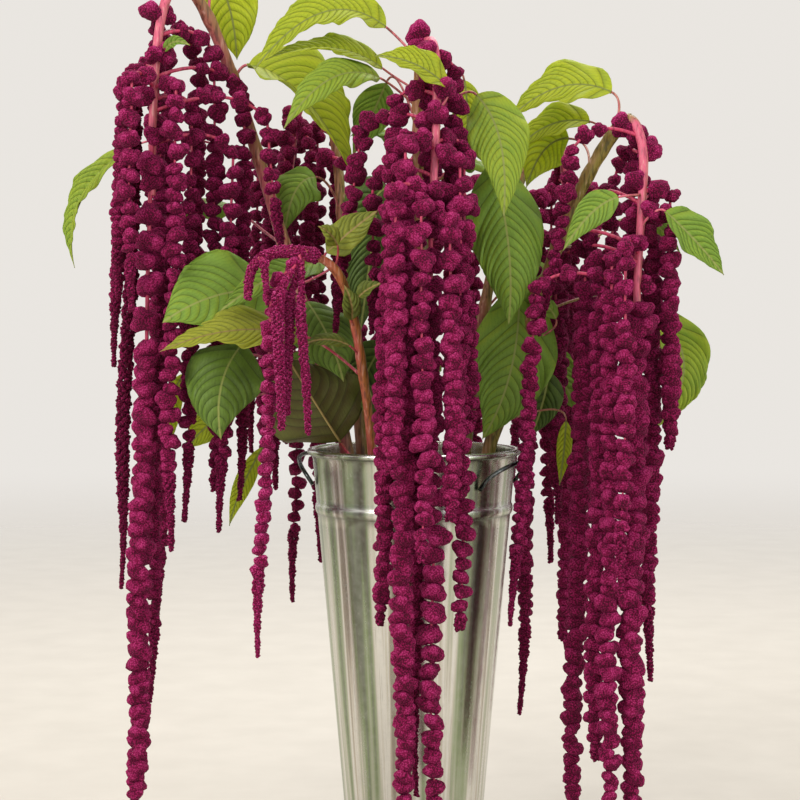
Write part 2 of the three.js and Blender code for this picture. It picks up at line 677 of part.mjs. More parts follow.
const plants = Object.entries(PLANTS);
addPart("bucket", geometryOf(bucketSolid()), ZINC);
for (const [name, degrees] of Object.entries(EAR_ANGLES)) {
  addPart(`ear_${name}`, earGeometry(degrees), ZINC);
}
addPart("water", geometryOf(waterSolid(plants.map(([, plant]) => stemSolid(plant, clearOf(STEM_SIDES))))), WATER);
for (const [name, plant] of plants) {
  addPart(`stem_${name}`, geometryOf(leafyStemSolid(plant)), plant.green);
  addPart(`head_${name}`, geometryOf(headSolid(plant)), plant.flower);
}
for (const [name, bract] of Object.entries(BRACTS)) {
  addPart(name, geometryOf(bractSolid(bract)), LEAF_GREEN);
}

export default model;
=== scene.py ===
"""The looks of cut love-lies-bleeding stems in a tall galvanised flower bucket.

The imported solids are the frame. Each one but the water gives way to finer pieces of the same form: knobbly
beads of florets threaded on red strings, veined leaves on ridged stems, and a bucket of rolled zinc sheet.
The tables are in millimetres and repeat the ones that the solids were made from. The meshes are in metres.
"""

import logging
import math
from dataclasses import dataclass
from enum import Enum
from typing import Iterable, Optional, Sequence, Union

import bmesh
import bpy
import numpy as np
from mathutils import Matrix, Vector


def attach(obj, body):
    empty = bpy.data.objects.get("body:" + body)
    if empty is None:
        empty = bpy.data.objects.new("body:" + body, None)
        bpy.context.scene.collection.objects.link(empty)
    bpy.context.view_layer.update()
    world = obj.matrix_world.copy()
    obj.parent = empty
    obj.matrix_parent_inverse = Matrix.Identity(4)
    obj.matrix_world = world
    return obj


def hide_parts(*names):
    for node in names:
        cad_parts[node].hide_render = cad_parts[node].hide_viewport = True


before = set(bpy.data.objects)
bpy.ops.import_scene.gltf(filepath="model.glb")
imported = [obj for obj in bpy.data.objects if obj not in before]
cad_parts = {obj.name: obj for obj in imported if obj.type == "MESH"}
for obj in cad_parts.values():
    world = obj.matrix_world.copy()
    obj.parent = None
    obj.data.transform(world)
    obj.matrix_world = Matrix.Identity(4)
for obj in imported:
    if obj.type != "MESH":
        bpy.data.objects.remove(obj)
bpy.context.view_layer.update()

Array = np.ndarray
Point = tuple[float, float, float]
Colour = tuple[float, float, float]
Pair = tuple[float, float]
Material = bpy.types.Material
Piece = bpy.types.Object

log = logging.getLogger("bouquet")

MM = 0.001
SEED = 11
FULL_TURN = 2 * math.pi
GOLDEN_ANGLE = math.pi * (3 - math.sqrt(5))
SEARCH_STEPS = 81

# Stems and head axes: their sides, how many ridges and how deep, the knots where leaves grow, and tones
STEM_SIDES = 18
STEM_RIDGES = (6, 0.05)
KNOT = 0.22
KNOT_MOST = 0.25
KNOT_LENGTH = 7
AXIS_SIDES = 16
AXIS_RIDGES = (5, 0.08)
AXIS_TONE = 0.85
AXIS_TONE_STARTS = 0.12
STRING_TONE = 0.7
PETIOLE_BLUSH = 0.3

# Strings: their stalks, their girth as shares of a radius, their sway and their thickness
STALK_CLEAR = 0.03
STALK_BEND = 0.7
TASSEL_TOP = 0.8
TASSEL_TOP_ENDS = 0.12
SLENDER_TAPER = 0.4
STOUT_TAPER = 0.2
STOUT_TASSEL = 9.3
TAPER_STARTS = 0.68
SWAY = 2.5
SWAY_LENGTH_X = 43.0
SWAY_LENGTH_Y = 51.0
STALK_FOOT = 1.8
MAIN_STRING = 2.2
OTHER_STRING = 1.3
STRING_TIP = 0.7

# How long a string's thin end is and the girth at which its beads give way to fine lumps, and those lumps
SLENDER_ENDING = (110.0, 6.0)
STOUT_ENDING = (26.0, 5.2)
END_GIRTH = 0.55
END_GIRTH_GAIN = 0.48
FINE_WAVE = 2.6
FINE_WAVE_DEPTH = 0.12
FINE_LUMP = 1.4
FINE_LUMP_GAIN = 0.24
FINE_PITCH = 0.46

# Beads on a stalk: where the first one sits, their sizes, how far off it they stand and how far apart
STALK_FIRST = (0.3, 0.5)
STALK_BEADS = (0.85, 1.2)
STALK_OFF = 0.25
STALK_PITCH = (1.6, 3.2)

# Beads on a string: their light, how dim those at the back are, their sizes, pitch and zigzag
STRING_LIGHT = (0.88, 1.0)
HIDDEN_DIM = 0.4
HIDDEN_DEPTHS = (8.0, 90.0)
STRING_BEADS = (0.88, 1.1)
LOOSE_GROWTH = 0.18
STRING_PITCH = 0.94
SPREAD_PITCH = 0.5
LEAST_ASIDE = 0.02
MOST_ASIDE = 0.14
SPREAD_ASIDE = 0.28
ZIGZAG = 1.1

# Beads: how far one may lean, in radians, and its lobes as shares of its radius
THREADED = 0.5
ANYHOW = 2.0
SMALL_BEAD = 6.5
LOBE_SHARPNESS = 12
LOBE_OUT = 0.5
LOBE_HEIGHT = 0.3
LOBE_SIZES = (0.42, 0.54)
CORE = 0.7
CREASE_ENDS = 0.74
UNEVEN_SPACING = 0.28
# The share of its light that a bead keeps in the painted shade of its deepest crease
CREASE_SHADE = 0.2
LONG_YOUNG_DIM = 0.66

# Leaves: where a blade is widest, how fast it rounds there and narrows, its veins and its petiole
LEAF_WIDEST = 0.38
LEAF_ROUNDNESS = 0.75
LEAF_POINT = LEAF_ROUNDNESS * (1 - LEAF_WIDEST) / LEAF_WIDEST
LEAF_PEAK = LEAF_WIDEST**LEAF_ROUNDNESS * (1 - LEAF_WIDEST) ** LEAF_POINT
BLADE_THICKNESS = 0.45
THINNEST_HALF = 0.35
VEIN_SPACING = 4.4
ROWS_PER_VEIN = 5
GROOVE_DEPTH = 1.1
GROOVE_WIDTH = 1.8
RELIEF_ROOM = 2.2
EDGE_WAVE = 0.13
EDGE_RIPPLE = 0.07
TIP_CURL = 0.22
CROWN = 0.12
PETIOLE_BEND = 0.35
PETIOLE_RADIUS = 0.85
PETIOLE_GAIN = 0.009
PETIOLE_FLARE = 0.6
MIDRIB_SHARE = 0.8

# Where the zinc's painted reflection streaks are read from
REFLECTION_STREAKS = (20.0, 5.0, 13.0)


def unit(vectors: Array) -> Array:
    """Scale vectors, one in each row, to length one."""
    return vectors / np.linalg.norm(vectors, axis=-1, keepdims=True)


def smoothstep(values: Array, low: float, high: float) -> Array:
    """Rise smoothly from 0 at low to 1 at high."""
    share = np.clip((np.asarray(values, dtype=float) - low) / (high - low), 0.0, 1.0)
    return share * share * (3.0 - 2.0 * share)


def between(pair: Pair, shares: Array) -> Array:
    """Go evenly from the first number of a pair to the second."""
    return pair[0] + (pair[1] - pair[0]) * shares


def spokes(sides: int) -> Array:
    """Angles spaced evenly round a circle."""
    return FULL_TURN * np.arange(sides) / sides


def ridged(sides: int, ridges: int, depth: float) -> Array:
    """How far each side of a ridged stalk stands out, as a share of its radius."""
    return 1 + depth * np.cos(ridges * FULL_TURN * np.arange(sides) / sides)


def outward(turn: float) -> Array:
    """The level way that a turn about a string points to."""
    return np.array([math.cos(turn), math.sin(turn), 0.0])


def gaps(points: Array) -> Array:
    """How far each point of a line is from the one before it."""
    return np.linalg.norm(np.diff(points, axis=0), axis=1)


class Line:
    """A curve that is read at shares of its run, from 0 at its start to 1 at its end."""

    def at(self, shares: Array) -> Array:
        """Find a point for each share."""
        raise NotImplementedError

    def point(self, share: float) -> Array:
        """Find the point at one share."""
        return self.at(np.array([share]))[0]


@dataclass(frozen=True)
class Path(Line):
    """A smooth curve through control points, the one that a stem follows."""

    controls: tuple[Point, ...]

    def at(self, shares: Array) -> Array:
        """Find points of the curve.

        Args:
            shares: Shares of the curve, from 0 at its foot to 1 at its end.

        Returns:
            A point for each share.
        """
        given = np.array(self.controls, dtype=float)
        spans = len(given) - 1
        padded = np.vstack([2 * given[0] - given[1], given, 2 * given[-1] - given[-2]])
        place = np.clip(np.asarray(shares, dtype=float), 0.0, 1.0) * spans
        index = np.minimum(place.astype(int), spans - 1)
        step = (place - index)[..., None]
        before, start, end, after = (padded[index + k] for k in range(4))
        leave = 0.5 * (end - before)
        arrive = 0.5 * (after - start)
        square = 3 * (end - start) - 2 * leave - arrive
        cube = 2 * (start - end) + leave + arrive
        return start + step * (leave + step * (square + step * cube))

    def nearest(self, low: float, high: float, wanted: Array) -> float:
        """Find the share, from low to high, at which the curve comes nearest to a point."""
        shares = np.linspace(low, high, SEARCH_STEPS)
        return float(shares[np.argmin(np.linalg.norm(self.at(shares) - wanted, axis=1))])

    def level(self, low: float, high: float, height: float) -> float:
        """Find the share, from low to high, at which the curve is nearest to a height."""
        shares = np.linspace(low, high, SEARCH_STEPS)
        return float(shares[np.argmin(np.abs(self.at(shares)[:, 2] - height))])


@dataclass(frozen=True)
class Bow(Line):
    """A plain bend from one point to another, drawn towards a third."""

    start: Array
    pull: Array
    end: Array

    @classmethod
    def through(cls, *points: Point) -> "Bow":
        """Make the bend that runs from the first of three points through the next to the last."""
        first, half, last = (np.array(point, dtype=float) for point in points)
        return cls(first, 2 * half - 0.5 * (first + last), last)

    def at(self, shares: Array) -> Array:
        """Find a point of the bend for each share of it."""
        u = np.asarray(shares, dtype=float)[..., None]
        return (1 - u) ** 2 * self.start + 2 * u * (1 - u) * self.pull + u * u * self.end

    def along(self, shares: Array) -> Array:
        """Find the way that the bend runs at each share of it."""
        u = np.asarray(shares, dtype=float)[..., None]
        return unit((1 - u) * (self.pull - self.start) + u * (self.end - self.pull))

    def length(self) -> float:
        """The bend's length, nearly."""
        return float(gaps(self.at(np.linspace(0, 1, 17))).sum())


class Skin:
    """The points, faces and painted values of one piece, gathered bit by bit, in millimetres."""

    def __init__(self, name: str) -> None:
        """Start an empty skin.

        Args:
            name: The piece's name.
        """
        self.name = name
        self.points: list[Array] = []
        self.faces: list[list[int]] = []
        self.slots: list[int] = []
        self.tones: list[Array] = []
        self.veins: list[Array] = []
        self.count = 0

    def add(
        self,
        points: Array,
        faces: Iterable[Array],
        slot: int = 0,
        tone: Union[float, Array] = 0.5,
        vein: Optional[Array] = None,
    ) -> None:
        """Take in a closed bit.

        Args:
            points: Its points, one in each row.
            faces: Blocks of faces, each an array of point numbers with one face in each row.
            slot: Which of the piece's materials it has.
            tone: A painted value for each point, or one for all.
            vein: Three painted values for each point, or none.
        """
        for block in faces:
            self.faces += (block + self.count).tolist()
            self.slots += [slot] * len(block)
        self.points.append(points)
        self.tones.append(np.broadcast_to(np.asarray(tone, dtype=float), len(points)))
        self.veins.append(np.zeros((len(points), 3)) if vein is None else vein)
        self.count += len(points)

    def piece(self, materials: Sequence[Material], node: str, crease: float = math.pi) -> Piece:
        """Make the object, and say what it rides on and stands for.

        Args:
            materials: The materials that the bits' slots number.
            node: The node that it stands for.
            crease: Edges that bend by more than this angle stay sharp.

        Returns:
            The object.
        """
        mesh = bpy.data.meshes.new(self.name)
        mesh.from_pydata((np.vstack(self.points) * MM).tolist(), [], self.faces)
        for material in materials:
            mesh.materials.append(material)
        mesh.polygons.foreach_set("material_index", self.slots)
        tone = mesh.attributes.new("tone", "FLOAT", "POINT")
        tone.data.foreach_set("value", np.concatenate(self.tones))
        vein = mesh.attributes.new("vein", "FLOAT_VECTOR", "POINT")
        vein.data.foreach_set("vector", np.vstack(self.veins).ravel())
        mesh.shade_smooth()
        if crease < math.pi:
            mesh.set_sharp_from_angle(angle=crease)
        mesh.update()
        made = bpy.data.objects.new(self.name, mesh)
        bpy.context.scene.collection.objects.link(made)
        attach(made, "root")
        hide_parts(node)
        triangles = sum(len(face) - 2 for face in self.faces)
        log.info("%s: %d triangles, stands for %s", self.name, triangles, node)
        return made


def ring_faces(rings: int, sides: int) -> list[Array]:
    """Number the faces of a closed skin over rings of points.

    Args:
        rings: How many rings.
        sides: How many points each ring has.

    Returns:
        Blocks of faces: the walls and the two ends.
    """
    i, j = np.meshgrid(np.arange(rings - 1), np.arange(sides), indexing="ij")
    k = (j + 1) % sides
    walls = np.stack([i * sides + j, i * sides + k, (i + 1) * sides + k, (i + 1) * sides + j], axis=-1)
    ring = np.arange(sides)
    return [walls.reshape(-1, 4), ring[::-1][None], (rings - 1) * sides + ring[None]]


def sheet_faces(rows: int, columns: int) -> list[Array]:
    """Number the faces of a thin closed sheet, whose bottom's points come after its top's.

    Args:
        rows: How many rows of points its top has.
        columns: How many points each row has.

    Returns:
        Blocks of faces: the top, the bottom and the rim.
    """
    grid = np.arange(rows * columns).reshape(rows, columns)
    top = np.stack([grid[:-1, :-1], grid[:-1, 1:], grid[1:, 1:], grid[1:, :-1]], axis=-1).reshape(-1, 4)
    edge = np.concatenate([grid[0, :-1], grid[:-1, -1], grid[-1, :0:-1], grid[:0:-1, 0]])
    after = np.roll(edge, -1)
    rim = np.stack([edge, edge + grid.size, after + grid.size, after], axis=-1)
    return [top, top[:, ::-1] + grid.size, rim]


def tube(centres: Array, radii: Array, sides: int) -> tuple[Array, list[Array]]:
    """Make a closed bar along a line of points, without twist.

    Args:
        centres: The line's points.
        radii: A radius for each point, or for each point and side.
        sides: How many sides the bar has.

    Returns:
        The bar's points and its blocks of faces.
    """
    ways = unit(np.gradient(centres, axis=0))
    across = np.empty_like(ways)
    last = np.array([0.0, 1.0, 0.0])
    for i, way in enumerate(ways):
        last = unit(last - way * (last @ way))
        across[i] = last
    beside = np.cross(ways, across)
    angles = spokes(sides)
    out = across[:, None] * np.cos(angles)[None, :, None] + beside[:, None] * np.sin(angles)[None, :, None]
    reach = np.asarray(radii, dtype=float).reshape(len(centres), -1, 1)
    return (centres[:, None] + out * reach).reshape(-1, 3), ring_faces(len(centres), sides)


class Socket:
    """A node's output, on which Python's operators work as on a number."""

    def __init__(self, shading: "Shading", output: Optional[bpy.types.NodeSocket]) -> None:
        """Wrap an output of a node of a material."""
        self.shading = shading
        self.output = output

    def __add__(self, other: "Number") -> "Socket":
        """The sum."""
        return self.shading.math("ADD", self, other)

    def __sub__(self, other: "Number") -> "Socket":
        """This less the other."""
        return self.shading.math("SUBTRACT", self, other)

    def __rsub__(self, other: "Number") -> "Socket":
        """The other less this."""
        return self.shading.math("SUBTRACT", other, self)

    def __mul__(self, other: "Number") -> "Socket":
        """The product."""
        return self.shading.math("MULTIPLY", self, other)

    __radd__ = __add__
    __rmul__ = __mul__

    def size(self) -> "Socket":
        """The value without its sign."""
        return self.shading.math("ABSOLUTE", self, 0.0)

    def beyond_whole(self) -> "Socket":
        """What is left of the value above the whole number below it."""
        return self.shading.math("FRACT", self, 0.0)

    def step(self, low: float, high: float) -> "Socket":
        """Rise smoothly from 0 at one value to 1 at another."""
        sockets = {"Value": self, "From Min": low, "From Max": high}
        return self.shading.add("ShaderNodeMapRange", {"interpolation_type": "SMOOTHSTEP"}, sockets, "Result")


Number = Union[Socket, float]


class Shading:
    """One material's nodes."""

    def __init__(self, name: str) -> None:
        """Start a material without nodes.

        Args:
            name: The material's name.
        """
        self.material = bpy.data.materials.new(name)
        self.material.use_nodes = True
        self.tree = self.material.node_tree
        self.tree.nodes.clear()

    def add(
        self,
        kind: str,
        settings: dict[str, object],
        sockets: dict[Union[str, int], object],
        output: Union[str, int] = 0,
    ) -> Socket:
        """Add a node.

        Args:
            kind: The node's type.
            settings: Its properties, with a ramp's stops as (place, colour) pairs under "stops".
            sockets: Values or links of its inputs.
            output: Which of its outputs is wanted.

        Returns:
            The wanted output.
        """
        node = self.tree.nodes.new(kind)
        for key, value in settings.items():
            if key == "stops":
                for place, _ in value[2:]:
                    node.color_ramp.elements.new(place)
                for element, (place, colour) in zip(node.color_ramp.elements, value):
                    element.position = place
                    element.color = (*colour, 1.0)
            else:
                setattr(node, key, value)
        for key, value in sockets.items():
            if isinstance(value, Socket):
                self.tree.links.new(value.output, node.inputs[key])
            else:
                node.inputs[key].default_value = value
        return Socket(self, node.outputs[output] if node.outputs else None)

    def math(self, operation: str, first: Number, second: Number) -> Socket:
        """Add a sum on two numbers."""
        return self.add("ShaderNodeMath", {"operation": operation}, {0: first, 1: second})

    def vector(self, operation: str, *vectors: object, output: str = "Vector") -> Socket:
        """Add a sum on one or two vectors."""
        return self.add("ShaderNodeVectorMath", {"operation": operation}, dict(enumerate(vectors)), output)

    def place(self, stretch: Point = (1.0, 1.0, 1.0)) -> Socket:
        """The place on the object, in metres, with each axis stretched."""
        return self.vector("MULTIPLY", self.add("ShaderNodeTexCoord", {}, {}, "Object"), stretch)

    def noise(self, place: Socket, scale: float, detail: float = 2.0) -> Socket:
        """Cloudy noise from 0 to 1, with features of about one over scale metres."""
        sockets = {"Vector": place, "Scale": scale, "Detail": detail}
        return self.add("ShaderNodeTexNoise", {}, sockets, "Fac")

    def cells(self, place: Socket, scale: float) -> Socket:
        """How far the nearest cell's middle lies, in cells."""
        return self.add("ShaderNodeTexVoronoi", {}, {"Vector": place, "Scale": scale}, "Distance")

    def painted(self, name: str, output: str = "Fac") -> Socket:
        """A value that the mesh holds at each point."""
        return self.add("ShaderNodeAttribute", {"attribute_name": name}, {}, output)

    def painted_three(self, name: str) -> list[Socket]:
        """Three numbers that the mesh holds at each point."""
        parts = self.add("ShaderNodeSeparateXYZ", {}, {0: self.painted(name, "Vector")})
        return [Socket(self, output) for output in parts.output.node.outputs]

    def facing(self, way: Point) -> Socket:
        """How far the surface faces a way, from -1 to 1."""
        normal = self.add("ShaderNodeNewGeometry", {}, {}, "Normal")
        return self.vector("DOT_PRODUCT", normal, way, output="Value")

    def ramp(self, factor: Socket, places: Sequence[float], colours: Sequence[Colour]) -> Socket:
        """Turn a number into a colour, by way of a colour at each of some places."""
        return self.add("ShaderNodeValToRGB", {"stops": list(zip(places, colours))}, {"Fac": factor}, "Color")

    def blend(self, factor: Number, under: object, over: object) -> Socket:
        """Lay one colour over another by a factor."""
        under, over = ((*c, 1.0) if isinstance(c, tuple) else c for c in (under, over))
        return self.add("ShaderNodeMix", {"data_type": "RGBA"}, {0: factor, 6: under, 7: over}, 2)

    def bump(self, height: Socket, depth: float) -> Socket:
        """Turn a height from 0 to 1 into a normal, with a depth in millimetres."""
        return self.add("ShaderNodeBump", {}, {"Height": height, "Distance": depth * MM, "Strength": 1.0})

    def principled(self, **sockets: object) -> Socket:
        """Add the main shader, with its sockets' names written with underscores."""
        named = {key.replace("_", " "): value for key, value in sockets.items()}
        return self.add("ShaderNodeBsdfPrincipled", {}, named)

    def mixed(self, factor: Number, first: Socket, second: Socket) -> Socket:
        """Mix two shaders by a factor."""
        return self.add("ShaderNodeMixShader", {}, {0: factor, 1: first, 2: second})

    def finish(self, surface: Socket) -> Material:
        """Join the surface to the output and hand over the material."""
        self.add("ShaderNodeOutputMaterial", {}, {"Surface": surface})
        return self.material


def seen(red: int, green: int, blue: int) -> Colour:
    """Turn a colour as a screen shows it, each part from 0 to 255, into one that light is worked out in."""
    parts = (part / 255 for part in (red, green, blue))
    return tuple(p / 12.92 if p <= 0.04045 else ((p + 0.055) / 1.055) ** 2.4 for p in parts)


def darker(colours: Sequence[Colour], shares: Sequence[float]) -> list[Colour]:
    """Take each colour down to a share of its light."""
    return [tuple(part * share for part in colour) for colour, share in zip(colours, shares)]


@dataclass(frozen=True)
class FloretFinish:
    """Tiny dry florets packed into beads: a magenta fuzz with painted shade in its gaps and painted light
    where a bead stands out.
    """

    name: str
    # gap is painted shade between florets and in creases; edge is a painted highlight on what stands out, and
    # tints the sheen
    gap: Colour
    body: Colour
    edge: Colour
    floret_size: float = 1.5
    floret_depth: float = 1.1

    def material(self) -> Material:
        """Make the material.

        Returns:
            The material, with painted light where the painted tone is high and painted shade where it is low.
        """
        shading = Shading(self.name)
        # Painted shade in the gaps between florets, which the bump also sinks
        florets = 1 - shading.cells(shading.place(), 1 / (self.floret_size * MM)).step(0.24, 0.8)
        # Painted light on the side that faces the key lamp
        lit_side = shading.facing((-0.45, -0.35, 0.8)) * 0.12
        light = florets * 0.52 + shading.painted("tone") * 0.62 + lit_side - 0.16
        shader = shading.principled(
            Base_Color=shading.ramp(light, (0.18, 0.52, 0.98), (self.gap, self.body, self.edge)),
            Roughness=0.85,
            Specular_IOR_Level=0.15,
            Sheen_Weight=0.7,
            Sheen_Roughness=0.4,
            Sheen_Tint=(*self.edge, 1.0),
            Normal=shading.bump(florets, self.floret_depth),
        )
        return shading.finish(shader)


@dataclass(frozen=True)
class StemFinish:
    """Juicy ridged stalks: olive green where the painted tone is low and pink where it is high."""

    name: str
    green: Colour
    blush: Colour
    pink: Colour
    # pale is a painted highlight, laid on the high streaks
    pale: Colour = (0.8, 0.5, 0.42)
    streak_depth: float = 0.35

    def material(self) -> Material:
        """Make the material.

        Returns:
            The material, with streaks along the stalk.
        """
        shading = Shading(self.name)
        streaks = shading.noise(shading.place((1.0, 1.0, 0.12)), 420)
        clouds = shading.noise(shading.place(), 28)
        # Painted light: the side that faces the key lamp is lighter and pinker
        light_side = shading.facing((-0.7, -0.5, 0.5)).step(-0.4, 0.9)
        hue = shading.painted("tone") + (light_side - 0.5) * 0.3 + (clouds - 0.5) * 0.45
        places = (0.15, 0.5, 0.85)
        colours = (self.green, self.blush, self.pink)
        skin = shading.ramp(hue, places, colours)
        dark = shading.ramp(hue, places, darker(colours, (0.4, 0.45, 0.6)))
        streaked = shading.blend(1 - streaks.step(0.34, 0.5), skin, dark)
        shader = shading.principled(
            # Painted highlight: the pale colour on the high streaks, which the bump raises
            Base_Color=shading.blend(streaks.step(0.55, 0.75) * 0.45, streaked, self.pale),
            Roughness=0.42 + streaks * 0.12,
            Normal=shading.bump(streaks, self.streak_depth),
        )
        return shading.finish(shader)


@dataclass(frozen=True)
class LeafFinish:
    """A thin leaf with sunken veins that lets some light through, with painted shade in its veins and painted
    light by its tone.
    """

    name: str
    # The first three colours are the leaf green in heavy painted shade, in half light and with painted light
    # shining through
    deep_shade: Colour
    half_lit: Colour
    lit: Colour
    midrib: Colour
    relief: float = 0.45

    def material(self) -> Material:
        """Make the material.

        Returns:
            The material, from green in heavy painted shade to painted light shining through as the painted
            tone rises.
        """
        shading = Shading(self.name)
        here = shading.place()
        tone = shading.painted("tone")
        row, across, share = shading.painted_three("vein")
        along = row.beyond_whole()
        near_vein = (along - 0.5).size() * 2
        clouds = shading.noise(here, 38, 3)
        fine = shading.noise(here, 330, 2)
        # Painted light and shade: each panel between two side veins goes from light to dark across its bulge
        shade = tone + (clouds - 0.5) * 0.34 + (fine - 0.5) * 0.16 + (0.5 - along) * 0.2
        places = (0.0, 0.5, 1.0)
        colours = (self.deep_shade, self.half_lit, self.lit)
        body = shading.ramp(shade, places, colours)
        # Painted shade: darker copies of the colours, laid in the side veins' grooves and a little in the
        # fine net
        furrow_shade = shading.ramp(shade, places, darker(colours, (0.5, 0.42, 0.4)))
        vein_groove_and_shade = near_vein.step(0.84, 1.0) * 0.55 + near_vein.step(0.2, 1.0) * 0.18
        vein_groove_and_shade = vein_groove_and_shade * (1 - share.step(0.86, 1.0))
        rungs = (across * 0.36 + row * 0.5 + fine * 1.6).beyond_whole()
        net = ((rungs - 0.5).size() * 2).step(0.8, 1.0)
        netted = shading.blend(net * 0.32, shading.blend(vein_groove_and_shade, body, furrow_shade), furrow_shade)
        colour = shading.blend(1 - across.size().step(0.5, 1.2), netted, self.midrib)
        surface = shading.principled(
            Base_Color=colour,
            Roughness=0.44 + clouds * 0.16,
            Specular_IOR_Level=0.4,
            Normal=shading.bump(clouds * 0.3 - net * 0.4 - vein_groove_and_shade * 1.2, self.relief),
        )
        through = shading.add("ShaderNodeBsdfTranslucent", {}, {"Color": colour})
        return shading.finish(shading.mixed(0.12 + tone * 0.4, surface, through))


@dataclass(frozen=True)
class ZincFinish:
    """Galvanised metal: bright rolled sheet with painted reflections in upright streaks, painted highlight
    and painted shade, or wire in a darker grey that is partly painted shade.
    """

    name: str
    wire: bool = False
    # Painted reflections: the upright bands of green, cream and brown that the sheet's shine shows
    streaks: tuple[tuple[float, Colour], ...] = (
        (0.33, seen(104, 110, 92)),
        (0.4, seen(134, 152, 108)),
        (0.455, seen(178, 184, 160)),
        (0.5, seen(214, 210, 198)),
        (0.555, seen(236, 234, 228)),
        (0.6, seen(206, 198, 184)),
        (0.65, seen(152, 140, 126)),
    )

    def material(self) -> Material:
        """Make the material.

        Returns:
            The material.
        """
        shading = Shading(self.name)
        # The painted reflection streaks run round the sheet and change slowly up it
        way = shading.vector("NORMALIZE", shading.place((1.0, 1.0, 0.0)))
        rise = shading.vector("ADD", shading.place((0, 0, 0.35)), REFLECTION_STREAKS)
        round_it = shading.vector("ADD", way, rise)
        broad = shading.noise(round_it, 4.6, 1)
        narrow = shading.noise(round_it, 15, 1)
        lines = shading.noise(round_it, 60, 2)
        spangle = shading.cells(shading.place(), 110)
        worn = shading.noise(shading.place(), 300, 4)
        sheet = shading.ramp(broad * 0.69 + narrow * 0.27 + lines * 0.04, *zip(*self.streaks))
        # Thin darker lines in the painted reflections
        colour = shading.blend(lines.step(0.6, 0.7) * 0.35, sheet, seen(110, 104, 92))
        colour = shading.blend(spangle * 0.2 + worn.step(0.5, 0.8) * 0.2 + 0.1, colour, seen(192, 192, 186))
        # Painted highlight where the sheet faces up, on the rim and the band's tops, and painted shade where
        # it faces down, under them
        tilt = shading.facing((0.0, 0.0, 1.0))
        colour = shading.blend(tilt.step(0.1, 0.5) * 0.7, colour, seen(250, 250, 248))
        colour = shading.blend((0 - tilt).step(0.2, 0.6) * 0.75, colour, seen(92, 90, 80))
        # The wire's plain darker grey, with worn mottling, is partly its own colour and partly painted shade
        if self.wire:
            colour = shading.blend(worn.step(0.4, 0.7), seen(60, 66, 66), seen(110, 112, 110))
        shader = shading.principled(
            Base_Color=colour,
            Metallic=1.0,
            Roughness=0.17 + narrow * 0.1 + worn * 0.06,
            Normal=shading.bump(narrow + worn * 0.03, 0.1),
        )
        return shading.finish(shader)


@dataclass(frozen=True)
class WaterFinish:
    """Clear water, a little green."""

    name: str

    def material(self) -> Material:
        """Make the material.

        Returns:
            The material.
        """
        shading = Shading(self.name)
        ripple = shading.noise(shading.place(), 35)
        shader = shading.principled(
            Base_Color=shading.ramp(ripple, (0.3, 0.7), (seen(196, 212, 196), seen(222, 232, 222))),
            Roughness=0.05,
            IOR=1.33,
            Transmission_Weight=0.85,
            Normal=shading.bump(ripple, 0.6),
        )
        return shading.finish(shader)


class Tone(Enum):
    """How much painted light or shade a leaf has, with the value that is painted on it."""

    DEEP_SHADE = 0.1
    SHADED = 0.28
    HALF_LIT = 0.5
    BRIGHT = 0.7
    LIT = 0.94


DEEP_SHADE, SHADED, HALF_LIT, BRIGHT, LIT = Tone


